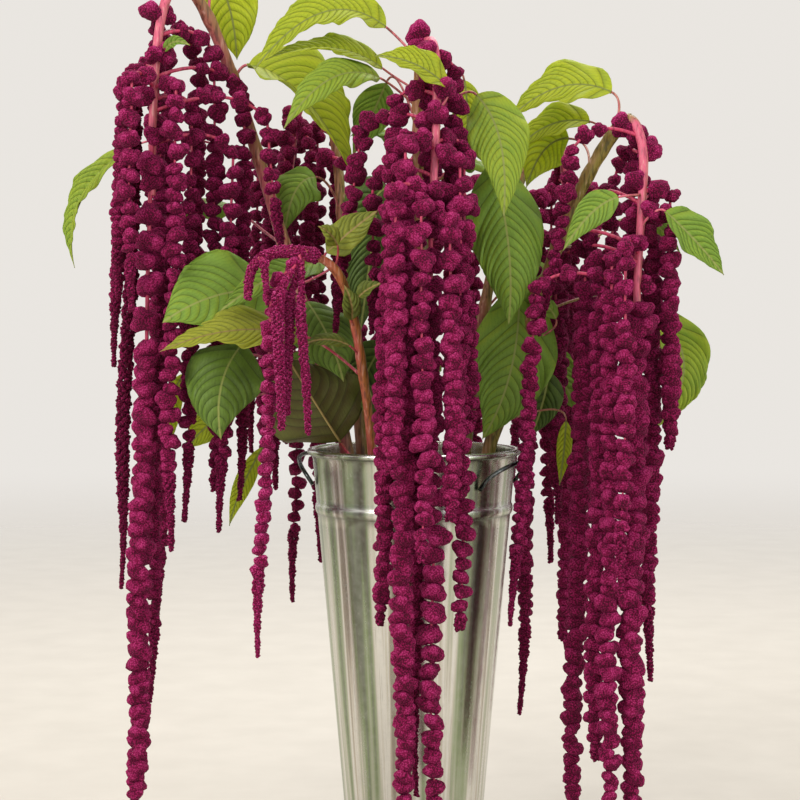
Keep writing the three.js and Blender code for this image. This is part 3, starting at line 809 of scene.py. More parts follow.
@dataclass(frozen=True)
class Leaf:
    """One leaf: where its petiole leaves the stem, three points of its midrib, and its blade."""

    height: float
    base: Point
    crest: Point
    tip: Point
    width: float
    facing: Point
    fold: float
    tone: Tone
    relief: float = 1.0

    def half_width(self, shares: Array) -> Array:
        """Find the blade's half width at shares of its midrib."""
        shape = shares**LEAF_ROUNDNESS * (1 - shares) ** LEAF_POINT
        return np.maximum(THINNEST_HALF, self.width / 2 * shape / LEAF_PEAK)

    def room(self, half: Array) -> Array:
        """The share of its full relief that the blade has where its half width is this."""
        return np.minimum(1.0, RELIEF_ROOM * half / self.width)

    def up(self, rib: Bow, shares: Array) -> Array:
        """Find the way that the blade faces, square to its midrib.

        Args:
            rib: The bend of the midrib.
            shares: Shares of the midrib.

        Returns:
            A direction for each share.
        """
        along = rib.along(shares)
        facing = np.array(self.facing, dtype=float)
        return unit(facing - along * (along @ facing)[..., None])

    def grow(self, skin: Skin, path: Path, low: float, high: float, blush: float, seed: int) -> None:
        """Add the leaf, with its petiole and its midrib, to a skin.

        Args:
            skin: What it is added to, with the leaf's material in slot 0 and the stalks' in slot 1.
            path: The curve that carries it.
            low: The lowest share of the curve that its petiole may leave.
            high: The highest share.
            blush: How pink its petiole is.
            seed: What its waves start from.
        """
        rib = Bow.through(self.base, self.crest, self.tip)
        self._blade(skin, rib, seed)
        start = path.point(path.level(low, high, self.height))
        base = rib.point(0.0)
        reach = float(np.linalg.norm(base - start))
        bend = Bow(start, base - rib.along(np.array([0.0]))[0] * PETIOLE_BEND * reach, base)
        thick = PETIOLE_RADIUS + PETIOLE_GAIN * self.width
        stations = np.linspace(0, 1, 15)
        flare = 1 + PETIOLE_FLARE * (1 - smoothstep(stations, 0, 0.12)) - 0.15 * stations
        skin.add(*tube(bend.at(stations), thick * flare, 8), slot=1, tone=blush)
        stations = np.linspace(0, 0.95, 22)
        taper = thick * MIDRIB_SHARE * (1 - 0.85 * stations)
        sunk = GROOVE_DEPTH * self.room(self.half_width(stations)) + 0.15 + taper
        line = rib.at(stations) - self.up(rib, stations) * sunk[:, None]
        skin.add(*tube(line, taper, 6), tone=self.tone.value)

    def _blade(self, skin: Skin, rib: Bow, seed: int) -> None:
        """Add the blade, whose rows of points follow its side veins.

        Args:
            skin: What it is added to.
            rib: The bend of its midrib.
            seed: What its waves start from.
        """
        length = rib.length()
        veins = int(np.clip(round(length / (VEIN_SPACING + 0.07 * self.width)), 4, 18))
        rows = ROWS_PER_VEIN * veins + 1
        columns = 19 if self.width > 30 else 13
        row = np.arange(rows)[:, None] / ROWS_PER_VEIN
        v = np.linspace(-1, 1, columns)[None, :]
        s = np.abs(v)
        start = row / veins
        lean = min(0.4, 0.8 * self.width / length)
        u = start + lean * (0.45 * s + 0.55 * s * s) * smoothstep(start, 0, 0.2) * (1 - start * start)
        up = self.up(rib, u)
        side = np.cross(rib.along(u), up)
        turn = 0.5 * math.sin(1.9 * seed + self.width) * (u - 0.4)[..., None]
        side, up = side * np.cos(turn) + up * np.sin(turn), up * np.cos(turn) - side * np.sin(turn)
        bulge = np.sin(math.pi * (row % 1)) ** 0.8
        lift = self._lift(row, u, v, bulge, seed)
        out = self.half_width(u) * v * (1 + 0.02 * bulge + 0.035 * np.sin(11 * u + 2 * seed + 3 * np.sign(v)))
        top = rib.at(u) + side * out[..., None] + up * lift[..., None]
        bottom = top - up * BLADE_THICKNESS
        points = np.vstack([top.reshape(-1, 3), bottom.reshape(-1, 3)])
        painted = np.stack(np.broadcast_arrays(row, out, s), axis=-1).reshape(-1, 3)
        skin.add(points, sheet_faces(rows, columns), tone=self.tone.value, vein=np.vstack([painted, painted]))

    def _lift(self, row: Array, u: Array, v: Array, bulge: Array, seed: int) -> Array:
        """Find how far the blade stands off its plane.

        Args:
            row: How many side veins a point is from the blade's foot.
            u: Its share of the midrib.
            v: How far out it is, from -1 at one edge to 1 at the other.
            bulge: How far it is from the veins beside it, from 0 to 1.
            seed: What its waves start from.

        Returns:
            A height for each point.
        """
        s = np.abs(v)
        half = self.half_width(u)
        room = self.room(half)
        quilt = bulge * smoothstep(s, 0.02, 0.25) * (1 - 0.6 * smoothstep(s, 0.75, 1)) * self.relief * room
        groove = -GROOVE_DEPTH * np.exp(-((v * half / GROOVE_WIDTH) ** 2)) * room
        wave = EDGE_WAVE * half * v * s * np.sin(5.2 * math.pi * u + seed)
        ripple = EDGE_RIPPLE * half * s**3 * np.sin(math.pi * row * 0.8 + 2 * seed * np.sign(v) + 1.5)
        curl = TIP_CURL * math.sin(2.3 * seed + 0.6) * half * s**3
        crown = -CROWN * half * s * s
        return self.fold * half * s + wave + ripple + curl + crown + quilt + groove


@dataclass(frozen=True)
class Tassel(Line):
    """One hanging string of beads."""

    top_x: float
    tip_x: float
    y: float
    top: float
    tip: float
    radius: float

    @property
    def length(self) -> float:
        """How far down it hangs."""
        return self.top - self.tip

    @property
    def slender(self) -> bool:
        """Whether it is a thin one, which narrows more and ends in fine lumps."""
        return self.radius < STOUT_TASSEL

    def at(self, shares: Array) -> Array:
        """Find points of its string.

        Args:
            shares: Shares of its length, from 0 at its top to 1 at its tip.

        Returns:
            A point for each share.
        """
        z = self.top + (self.tip - self.top) * shares
        x = self.top_x + (self.tip_x - self.top_x) * shares
        x = x + SWAY * shares * np.sin(z / SWAY_LENGTH_X + self.top_x)
        y = self.y + SWAY * shares * np.cos(z / SWAY_LENGTH_Y + self.top_x)
        return np.stack([x, y, z], axis=-1)

    def girth(self, share: float) -> float:
        """Find the radius that its beads fill at a share of its length.

        Args:
            share: The share, from 0 at its top to 1 at its tip.

        Returns:
            The radius.
        """
        swell = TASSEL_TOP + (1 - TASSEL_TOP) * smoothstep(share, 0, TASSEL_TOP_ENDS)
        taper = SLENDER_TAPER if self.slender else STOUT_TAPER
        return float(self.radius * swell * (1 - taper * smoothstep(share, TAPER_STARTS, 1)))


def hang(*rows: tuple[float, ...]) -> tuple[Tassel, ...]:
    """Make tassels from rows of the x of top and tip, y, the heights of top and tip, and the radius."""
    return tuple(Tassel(*row) for row in rows)


def hull_faces(points: Array) -> Array:
    """Number the triangles round a ball of points, all facing outward.

    Args:
        points: The points, one in each row.

    Returns:
        Three point numbers for each triangle.
    """
    cloud = bmesh.new()
    for point in points:
        cloud.verts.new(point)
    cloud.verts.index_update()
    bmesh.ops.convex_hull(cloud, input=cloud.verts)
    faces = np.array([[corner.index for corner in face.verts] for face in cloud.faces])
    cloud.free()
    first, second, third = (points[faces[:, corner]] for corner in range(3))
    inward = (np.cross(second - first, third - first) * first).sum(axis=1) < 0
    faces[inward] = faces[inward][:, ::-1]
    return faces


class BeadMould:
    """Knobbly beads of florets, each a few lobes round a string, that are set down over and over."""

    def __init__(self, corners: int, unevenness: float, kinds: int, rng: np.random.Generator) -> None:
        """Make the beads.

        Args:
            corners: How many points each has.
            unevenness: How far a point stands in or out, as a share of the radius.
            kinds: How many different beads there are.
            rng: Where chance comes from.
        """
        self.rng = rng
        self.beads = [self._bead(corners, unevenness) for _ in range(kinds)]

    def _bead(self, corners: int, unevenness: float) -> tuple[Array, Array, Array]:
        """Make one bead of radius one.

        Args:
            corners: How many points it has.
            unevenness: How far a point stands in or out.

        Returns:
            Its points, its faces and how far each point is from a crease.
        """
        step = np.arange(corners) + 0.5
        height = 1 - 2 * step / corners
        ring = np.sqrt(1 - height * height)
        angle = GOLDEN_ANGLE * step
        ways = np.stack([ring * np.cos(angle), ring * np.sin(angle), height], axis=-1)
        ways = unit(ways + self.rng.normal(0, UNEVEN_SPACING / math.sqrt(corners), ways.shape))
        reach = self._lobed(ways)
        stand = reach + self.rng.uniform(-unevenness, unevenness, corners)
        return ways * stand[:, None], hull_faces(ways), smoothstep(reach, CREASE_ENDS, 1.0)

    def _lobed(self, ways: Array) -> Array:
        """Find how far a new bead reaches: about as far as the outermost of its lobes or its core.

        Args:
            ways: The ways to look, one in each row.

        Returns:
            The reach each way.
        """
        count = int(self.rng.integers(4, 7))
        angle = FULL_TURN * (np.arange(count) + self.rng.uniform(-0.25, 0.25, count)) / count
        height = self.rng.permutation(np.linspace(-LOBE_HEIGHT, LOBE_HEIGHT, count))
        height = height + self.rng.uniform(-0.06, 0.06, count)
        middles = np.stack([LOBE_OUT * np.cos(angle), LOBE_OUT * np.sin(angle), height], axis=-1)
        size = self.rng.uniform(*LOBE_SIZES, count)
        onward = ways @ middles.T
        room = size**2 - (middles**2).sum(axis=1) + onward**2
        far = np.where(room > 0, onward + np.sqrt(np.maximum(room, 0)), 0)
        far = np.column_stack([np.maximum(far, 0), np.full(len(ways), CORE)])
        return (far**LOBE_SHARPNESS).sum(axis=1) ** (1 / LOBE_SHARPNESS)

    def set_down(self, skin: Skin, centre: Array, radius: float, lean: float, shade: float) -> None:
        """Add one bead to a skin, turned by chance.

        Args:
            skin: What it is added to.
            centre: Where it goes.
            radius: Its radius.
            lean: How far it may lean over, in radians.
            shade: How light it is, from 0 to 1.
        """
        points, faces, crest = self.beads[self.rng.integers(len(self.beads))]
        turned = points @ self._turn(lean) * radius * self.rng.uniform(0.94, 1.06, 3)
        upward = turned[:, 2] / radius
        # Painted shade in the creases and underneath, painted light on top
        tone = np.clip(shade * (CREASE_SHADE + (1 - CREASE_SHADE) * crest) * (0.92 + 0.22 * upward), 0, 1)
        skin.add(centre + turned, [faces], tone=tone)

    def _turn(self, lean: float) -> Array:
        """Turn a bead about the string by chance, and lean it over.

        Args:
            lean: How far it may lean over, in radians.

        Returns:
            The turn, as a matrix.
        """
        round_it, over = self.rng.uniform(0, FULL_TURN), self.rng.uniform(-lean, lean)
        c, s = math.cos(round_it), math.sin(round_it)
        turned = np.array([[c, s, 0], [-s, c, 0], [0, 0, 1]])
        c, s = math.cos(over), math.sin(over)
        return turned @ np.array([[1, 0, 0], [0, c, s], [0, -s, c]])


@dataclass(frozen=True)
class Moulds:
    """The beads that a head is dressed with."""

    large: BeadMould
    small: BeadMould
    lump: BeadMould

    @property
    def rng(self) -> np.random.Generator:
        """Where chance comes from, the same for all three."""
        return self.large.rng

    def bead(self, skin: Skin, centre: Array, radius: float, lean: float, shade: float) -> None:
        """Set down a bead with as many points as its radius in millimetres asks for."""
        (self.large if radius > SMALL_BEAD else self.small).set_down(skin, centre, radius, lean, shade)


@dataclass(frozen=True)
class Dress:
    """What a plant is finished with: its materials, its slot names and its beads."""

    leaf: Material
    stalk: Material
    string: Material
    florets: Material
    leaf_slot: str
    flower_slot: str
    moulds: Moulds


@dataclass(frozen=True)
class Opening:
    """How a string's upper beads hang apart: where they close up, and the widest gap in bead sizes."""

    starts: float = 17.0
    ends: float = 85.0
    gap: float = 0.9


@dataclass(frozen=True)
class Plant:
    """One cut stem with its leaves and its hanging head."""

    name: str
    path: tuple[Point, ...]
    tassels: tuple[Tassel, ...]
    leaves: tuple[Leaf, ...]
    join: int = 7
    blush: float = 0.25
    stem_radii: Pair = (7, 5)
    rachis_radii: Pair = (4.5, 3)
    stalk_rise: float = 0.3
    opening: Opening = Opening()
    main_opening: Opening = Opening()
    whorl_step: float = 34.0
    whorl_beads: Pair = (9.0, 13.0)

    @property
    def curve(self) -> Path:
        """The curve that the stem and the head's axis follow."""
        return Path(self.path)

    @property
    def join_share(self) -> float:
        """The share of the curve at which the stem gives way to the head's axis."""
        return self.join / (len(self.path) - 1)

    def build(self, dress: Dress) -> None:
        """Make the plant's three pieces."""
        for make in (self.leafy_stem, self.axis, self.florets):
            make(dress)

    def leafy_stem(self, dress: Dress) -> Piece:
        """Make the stem with its leaves.

        Args:
            dress: What it is finished with.

        Returns:
            The piece.
        """
        skin = Skin(f"leafy_stem_{self.name}")
        shares = np.linspace(0, self.join_share, 90)
        line = self.curve.at(shares)
        radii = between(self.stem_radii, shares / self.join_share)
        knots = np.zeros_like(radii)
        for leaf in self.leaves:
            if leaf.height < line[:, 2].max():
                knots += KNOT * np.exp(-(((line[:, 2] - leaf.height) / KNOT_LENGTH) ** 2))
        radii = radii[:, None] * (1 + np.minimum(knots, KNOT_MOST))[:, None]
        skin.add(*tube(line, radii * ridged(STEM_SIDES, *STEM_RIDGES), STEM_SIDES), slot=1, tone=self.blush)
        for index, leaf in enumerate(self.leaves):
            leaf.grow(skin, self.curve, 0.0, self.join_share, self.blush + PETIOLE_BLUSH, index)
        return skin.piece((dress.leaf, dress.stalk), f"stem_{self.name}")

    def arm(self, tassel: Tassel) -> Bow:
        """Bend a tassel's stalk.

        Args:
            tassel: The tassel.

        Returns:
            The bend, from the head's axis to the tassel's top.
        """
        top = tassel.point(0.0)
        start = self.curve.point(self.curve.nearest(self.join_share + STALK_CLEAR, 1, top))
        bend = start + (top - start) * STALK_BEND
        bend[2] = max(start[2], top[2]) + self.stalk_rise * np.linalg.norm(top - start)
        return Bow(start, bend, top)

    def axis(self, dress: Dress) -> Piece:
        """Make the pink axis of the head, with the stalks and strings that its beads sit on.

        Args:
            dress: What it is finished with.

        Returns:
            The piece.
        """
        skin = Skin(f"head_axis_{self.name}")
        shares = np.linspace(self.join_share, 1, 60)
        stretch = (shares - self.join_share) / (1 - self.join_share)
        reach = between(self.rachis_radii, stretch)[:, None] * ridged(AXIS_SIDES, *AXIS_RIDGES)
        tone = between((self.blush, AXIS_TONE), smoothstep(stretch, 0, AXIS_TONE_STARTS))
        skin.add(*tube(self.curve.at(shares), reach, AXIS_SIDES), tone=tone.repeat(AXIS_SIDES))
        for tassel in self.tassels:
            arm = self.arm(tassel).at(np.linspace(0, 1, 14))
            string = tassel.at(np.linspace(0, 0.985, max(12, int(tassel.length / 12))))
            top = MAIN_STRING if tassel is self.tassels[0] else OTHER_STRING
            upper = np.linspace(max(STALK_FOOT, top), top, 13)
            thick = np.concatenate([upper, np.linspace(top, STRING_TIP, len(string))])
            skin.add(*tube(np.vstack([arm[:-1], string]), thick, 7), slot=1, tone=STRING_TONE)
        return skin.piece((dress.stalk, dress.string), f"head_{self.name}")

    def florets(self, dress: Dress) -> Piece:
        """Make the beads of the head's tassels and of its axis.

        Args:
            dress: What it is finished with.

        Returns:
            The piece.
        """
        skin = Skin(f"florets_{self.name}")
        for tassel in self.tassels:
            self._dress_tassel(skin, tassel, dress.moulds)
        self._dress_axis(skin, dress.moulds)
        return skin.piece((dress.florets,), f"head_{self.name}")

    def _dress_tassel(self, skin: Skin, tassel: Tassel, moulds: Moulds, dim: float = 1.0) -> None:
        """Thread beads on one tassel's stalk and string.

        Args:
            skin: What they are added to.
            tassel: The tassel.
            moulds: Where the beads come from.
            dim: What its light is multiplied by.
        """
        rng = moulds.rng
        depth = tassel.y - min(other.y for other in self.tassels)
        # Painted shade: strings further back are darker
        shade = dim * (rng.uniform(*STRING_LIGHT) - HIDDEN_DIM * float(smoothstep(depth, *HIDDEN_DEPTHS)))
        spread = rng.uniform(0, 1)
        arm = self.arm(tassel)
        reach = arm.length()
        gone = rng.uniform(*STALK_FIRST) * reach
        while gone < reach - 0.8 * tassel.radius:
            size = tassel.radius * rng.uniform(*STALK_BEADS)
            spot = arm.point(gone / reach) + rng.uniform(-STALK_OFF, STALK_OFF, 3) * size
            moulds.bead(skin, spot, size, ANYHOW, shade)
            gone += size * rng.uniform(*STALK_PITCH)
        self._dress_string(skin, tassel, moulds, shade, spread)

    def _dress_string(self, skin: Skin, tassel: Tassel, moulds: Moulds, shade: float, spread: float) -> None:
        """Thread beads on a tassel's string, loose near its top and fine at its tip.

        Args:
            skin: What they are added to.
            tassel: The tassel.
            moulds: Where the beads come from.
            shade: How light they are.
            spread: How uneven the string is, from 0 to 1.
        """
        rng = moulds.rng
        pitch = STRING_PITCH + SPREAD_PITCH * spread * spread
        opening = self.main_opening if tassel is self.tassels[0] else self.opening
        ending_length, fine_girth = SLENDER_ENDING if tassel.slender else STOUT_ENDING
        turn = rng.uniform(0, FULL_TURN)
        down = size = 0.0
        fine = False
        while down < tassel.length:
            spot = tassel.point(down / tassel.length)
            loose = 1 - float(smoothstep(down, opening.starts, opening.ends))
            ending = float(smoothstep(tassel.length - down, -0.1 * ending_length, ending_length))
            girth = tassel.girth(down / tassel.length) * (END_GIRTH + END_GIRTH_GAIN * ending)
            if girth < fine_girth and not fine:
                down = max(0.0, down - 1.1 * size)
                fine = True
            elif fine:
                girth *= 1 + FINE_WAVE_DEPTH * math.sin(down / FINE_WAVE)
                size = rng.uniform(0.85, 1.15) * (FINE_LUMP + FINE_LUMP_GAIN * girth)
                turn += GOLDEN_ANGLE
                spot = spot + max(0.0, girth - 0.85 * size) * outward(turn)
                moulds.lump.set_down(skin, spot, size, ANYHOW, shade * rng.uniform(0.75, 1.1))
                down += FINE_PITCH * size * size / max(girth, size)
            else:
                size = girth * rng.uniform(*STRING_BEADS) * (1 + LOOSE_GROWTH * loose)
                aside = size * rng.uniform(LEAST_ASIDE, MOST_ASIDE + SPREAD_ASIDE * max(loose, spread))
                turn += math.pi + rng.uniform(-ZIGZAG, ZIGZAG)
                spot = spot + aside * outward(turn)
                moulds.bead(skin, spot, size, THREADED, shade * rng.uniform(0.88, 1.08))
                down += size * (pitch * rng.uniform(0.9, 1.1) + loose * rng.uniform(0.1, 1.0) * opening.gap)

    def _dress_axis(self, skin: Skin, moulds: Moulds) -> None:
        """Set large beads in ones and twos along the head's axis.

        Args:
            skin: What they are added to.
            moulds: Where the beads come from.
        """
        rng = moulds.rng
        line = self.curve.at(np.linspace(self.join_share, 1, 200))
        run = np.concatenate([[0.0], np.cumsum(gaps(line))])
        place = 5.0
        turn = rng.uniform(0, FULL_TURN)
        while place < run[-1]:
            at = int(np.searchsorted(run, place))
            way = unit(line[min(at + 1, len(line) - 1)] - line[at - 1])
            across = unit(np.cross(way, np.array([0.3, 1.0, 0.2])))
            beside = np.cross(way, across)
            for index in range(int(rng.integers(1, 3))):
                angle = turn + index * 1.9 + rng.uniform(-0.4, 0.4)
                radius = rng.uniform(*self.whorl_beads)
                out = (across * math.cos(angle) + beside * math.sin(angle)) * (radius * 0.6 + 2.5)
                spot = line[at] + out + way * rng.uniform(-5.0, 5.0)
                moulds.large.set_down(skin, spot, radius, ANYHOW, rng.uniform(0.9, 1.05))
            turn += rng.uniform(1.8, 3.0)
            place += self.whorl_step * rng.uniform(0.8, 1.2)


@dataclass(frozen=True)
class BackPlant(Plant):
    """A thinner stem behind the others."""

    stem_radii: Pair = (6.5, 4.5)
    rachis_radii: Pair = (4, 3)


@dataclass(frozen=True)
class YoungPlant(Plant):
    """A stem whose head is still young: small bright florets cover its arch and its thin strings."""

    stem_radii: Pair = (5, 3.2)
    rachis_radii: Pair = (5, 2)
    stalk_rise: float = 0.05
    lump: float = 2.1
    lump_sizes: Pair = (0.75, 1.15)
    lump_light: Pair = (0.6, 1.0)
    bare: float = 0.035
    bare_stalk: float = 0.45
    arch_room: float = 8.0

    def under_arch(self, tassel: Tassel) -> bool:
        """Whether a string starts so low that it needs a stalk of its own."""
        return tassel.top <= self.curve.point(1.0)[2] + self.arch_room

    def arm(self, tassel: Tassel) -> Bow:
        """Bend a string's stalk.

        Args:
            tassel: The string.

        Returns:
            The bend, from the arch or from the stalk under it to the string's top.
        """
        if not self.under_arch(tassel):
            return super().arm(tassel)
        top = tassel.point(0.0)
        start = self.curve.point(self.join_share + 0.01)
        return Bow(start, (start + top) / 2 + np.array([0.0, 0.0, 3.0]), top)

    def _dress_tassel(self, skin: Skin, tassel: Tassel, moulds: Moulds, dim: float = 1.0) -> None:
        """Cover one string with small lumps set in a spiral, or with beads where it is the long one.

        Args:
            skin: What they are added to.
            tassel: The string.
            moulds: Where the lumps and beads come from.
            dim: What the light of beads is multiplied by.
        """
        if tassel is self.tassels[0]:
            super()._dress_tassel(skin, tassel, moulds, dim * LONG_YOUNG_DIM)
            return
        rng = moulds.rng
        arm = self.arm(tassel)
        bare = self.bare_stalk * arm.length() if self.under_arch(tassel) else 0.0
        turn = rng.uniform(0, FULL_TURN)
        for line, length, gone, girth_at in (
            (arm, arm.length(), bare, lambda share: 1.0 + (0.8 * tassel.radius - 1.0) * share),
            (tassel, tassel.length, 0.0, lambda share: tassel.radius * (0.9 - 0.36 * share)),
        ):
            while gone < length:
                girth = girth_at(gone / length) * rng.uniform(0.88, 1.1)
                spot = line.point(gone / length) + outward(turn) * max(0.0, girth - 0.6 * self.lump)
                radius = self.lump * rng.uniform(*self.lump_sizes) * min(1.0, 0.55 + girth / 9)
                moulds.lump.set_down(skin, spot, radius, ANYHOW, rng.uniform(*self.lump_light))
                turn += GOLDEN_ANGLE
                gone += 0.42 * self.lump**2 / max(girth, self.lump)

    def _dress_axis(self, skin: Skin, moulds: Moulds) -> None:
        """Cover the arch with small lumps.

        Args:
            skin: What they are added to.
            moulds: Where the lumps come from.
        """
        rng = moulds.rng
        line = self.curve.at(np.linspace(self.join_share - self.bare, 1, 400))
        run = np.concatenate([[0.0], np.cumsum(gaps(line))])
        turn = gone = 0.0
        while gone < run[-1]:
            at = min(int(np.searchsorted(run, gone)), len(line) - 2)
            girth = between(self.rachis_radii, gone / run[-1]) * rng.uniform(0.94, 1.12)
            way = unit(line[at + 1] - line[at])
            across = unit(np.cross(way, np.array([0.2, 1.0, 0.1])))
            out = across * math.cos(turn) + np.cross(way, across) * math.sin(turn)
            radius = self.lump * rng.uniform(*self.lump_sizes)
            spot = line[at] + out * (girth + 0.1 * radius)
            moulds.lump.set_down(skin, spot, radius, ANYHOW, rng.uniform(*self.lump_light))
            turn += GOLDEN_ANGLE
            gone += 0.23 * self.lump**2 / girth


@dataclass(frozen=True)
class Bract:
    """A small leaf that grows from a head's axis."""

    name: str
    plant: str
    leaf: Leaf
    blush: float = 0.75
    waves: int = 3

    def build(self, owner: Plant, dress: Dress) -> Piece:
        """Make the leaf.

        Args:
            owner: The plant that carries it.
            dress: What the plant is finished with.

        Returns:
            The piece.
        """
        skin = Skin(f"leaf_{self.name}")
        self.leaf.grow(skin, owner.curve, owner.join_share, 1.0, self.blush, self.waves)
        return skin.piece((dress.leaf, dress.stalk), self.name)


@dataclass(frozen=True)
class Bucket:
    """A tall tapered flower bucket with a rolled rim, a raised band and a seamed foot."""

    height: float = 376.0
    rim_radius: float = 92.0
    base_radius: float = 58.5
    sheet: float = 1.2
    roll_radius: float = 3.0
    band_height: float = 322.0
    band_half_width: float = 5.0
    band_depth: float = 1.8
    foot_bead: float = 1.5
    sides: int = 144
    crease: float = 50.0

    def wall(self, height: float) -> float:
        """Find the outer radius of the plain wall at a height."""
        return self.base_radius + (self.rim_radius - self.base_radius) * height / self.height

    def walls(self, heights: Iterable[float], inward: float = 0.0) -> list[Pair]:
        """The plain wall's radius and height at each of some heights, or a little further in."""
        return [(self.wall(height) - inward, height) for height in heights]

    def outline(self) -> list[Pair]:
        """Draw the sheet's section, from the middle of its base, up outside, over the rim and down inside.

        Returns:
            A radius and a height for each corner.
        """
        foot_radius, bead = self.base_radius, self.foot_bead
        foot = [
            (foot_radius - 4, 2.2),
            (foot_radius - 2, 0.2),
            (foot_radius + bead * 0.4, 0.0),
            (foot_radius + bead, bead * 0.7),
            (foot_radius + bead, bead * 2.6),
            (foot_radius + bead * 0.6, bead * 3.4),
        ]
        band = []
        for share in np.linspace(-1, 1, 17).tolist():
            height = self.band_height + share * self.band_half_width
            band.append((self.wall(height) + math.cos(share * math.pi / 2) ** 0.7 * self.band_depth, height))
        roll_height = self.height - self.roll_radius
        roll_centre = self.wall(roll_height) + self.roll_radius / 2
        roll = []
        for angle in map(math.radians, range(-100, 200, 20)):
            across, up = self.roll_radius * math.cos(angle), self.roll_radius * math.sin(angle)
            roll.append((roll_centre + across, roll_height + up))
        below = self.walls((9, 12, 40, 80, 120, 160, 200, 240, 280, 308))
        above = self.walls((332, 345, 358, 367))
        inside = self.walls((370, 330, 300, 200, 100, 20, self.sheet + 2.2), self.sheet)
        return foot + below + band + above + roll + inside

    def build(self, material: Material) -> Piece:
        """Turn the section round into the bucket.

        Args:
            material: The sheet's material.

        Returns:
            The piece.
        """
        radius, height = (column[:, None] for column in np.array(self.outline()).T)
        angles = spokes(self.sides)
        rings = np.broadcast_arrays(radius * np.cos(angles), radius * np.sin(angles), height)
        skin = Skin("bucket_sheet")
        skin.add(np.stack(rings, axis=-1).reshape(-1, 3), ring_faces(len(radius), self.sides))
        return skin.piece((material,), "bucket", math.radians(self.crease))


@dataclass(frozen=True)
class Ear:
    """A wire handle that stands off the bucket's wall below the rim."""

    name: str
    middle: float
    bucket: Bucket
    wire: float = 1.9
    top: float = 368.0
    drop: float = 24.0
    bow: float = 13.0
    clear: float = 0.7
    half_span: float = 30.0

    def build(self, material: Material) -> Piece:
        """Bend the wire.

        Args:
            material: The wire's material.

        Returns:
            The piece.
        """
        share = np.linspace(-1, 1, 41)
        rise = np.sqrt(np.maximum(0, 1 - share * share))
        height = self.top - self.drop * (1 - rise)
        radius = self.bucket.wall(height) + self.wire + self.clear + self.bow * rise
        angle = np.radians(self.middle + share * self.half_span)
        line = np.stack([radius * np.cos(angle), radius * np.sin(angle), height], axis=-1)
        skin = Skin(f"wire_{self.name}")
        skin.add(*tube(line, np.full(len(line), self.wire), 12))
        return skin.piece((material,), self.name)


# Each plant's path, its tassels with the main one first, and its leaves
LEFT_PATH = (
    (-34, 4, 2), (-42, 5, 130), (-51, 5, 260), (-63, 6, 385), (-103, 15, 509), (-137, 20, 626),
    (-168, 15, 722), (-190, 4, 772), (-208, -14, 790), (-220, -32, 765), (-226, -44, 715), (-228, -52, 660),
    (-228, -58, 600),
)
LEFT_TASSELS = hang(
    (-228, -247, -58, 652, 58, 11.5), (-254, -262, -36, 700, 512, 8), (-258, -267, -8, 702, 450, 7.5),
    (-250, -269, 18, 698, 246, 7), (-242, -246, -84, 700, 500, 9), (-206, -215, -64, 695, 290, 9),
    (-196, -204, -28, 680, 312, 8.5), (-224, -235, -28, 655, 150, 8.5), (-178, -178, -8, 728, 338, 9.5),
    (-160, -172, -22, 640, 303, 8.5), (-152, -158, 4, 690, 328, 8.5), (-196, -204, 32, 722, 396, 9),
    (-226, -236, 38, 716, 194, 9), (-228, -232, -4, 735, 420, 9.5), (-130, -118, -24, 668, 540, 7.5),
)
LEFT_LEAVES = (
    Leaf(708, (-150, 25, 721), (-100, 10, 692), (-54, 0, 618), 78, (0.5, -0.6, 0.7), 0.5, LIT),
    Leaf(760, (-177, 30, 799), (-166, 36, 768), (-161, 38, 727), 54, (0, -1, 0.1), 0.1, LIT),
    Leaf(640, (-262, 62, 648), (-308, 56, 600), (-312, 50, 538), 32, (-0.7, -0.6, 0.3), 0.6, BRIGHT),
    Leaf(500, (-127, -40, 518), (-173, -74, 513), (-216, -94, 490), 82, (-0.1, -0.95, 0.3), -0.1, HALF_LIT),
    Leaf(480, (-150, -42, 472), (-168, -64, 436), (-168, -70, 388), 70, (0, -1, 0.3), -0.1, SHADED),
    Leaf(490, (-95, -28, 508), (-76, -46, 478), (-62, -58, 438), 58, (0.2, -0.9, 0.3), -0.1, SHADED),
    Leaf(520, (-78, -52, 542), (-118, -78, 532), (-166, -100, 500), 40, (-0.1, -0.8, 0.5), 0.1, HALF_LIT),
    Leaf(440, (-214, 68, 440), (-236, 72, 384), (-234, 74, 322), 26, (0, -1, 0.1), 0.1, LIT),
    Leaf(425, (-165, 60, 412), (-192, 66, 392), (-214, 70, 368), 34, (0, -0.9, 0.4), 0.1, LIT),
    Leaf(405, (-140, 60, 372), (-160, 66, 334), (-172, 68, 298), 18, (0, -1, 0.2), 0.1, LIT),
    Leaf(560, (-160, 70, 590), (-200, 84, 600), (-246, 90, 566), 54, (0, 0.2, 1), -0.1, HALF_LIT),
)

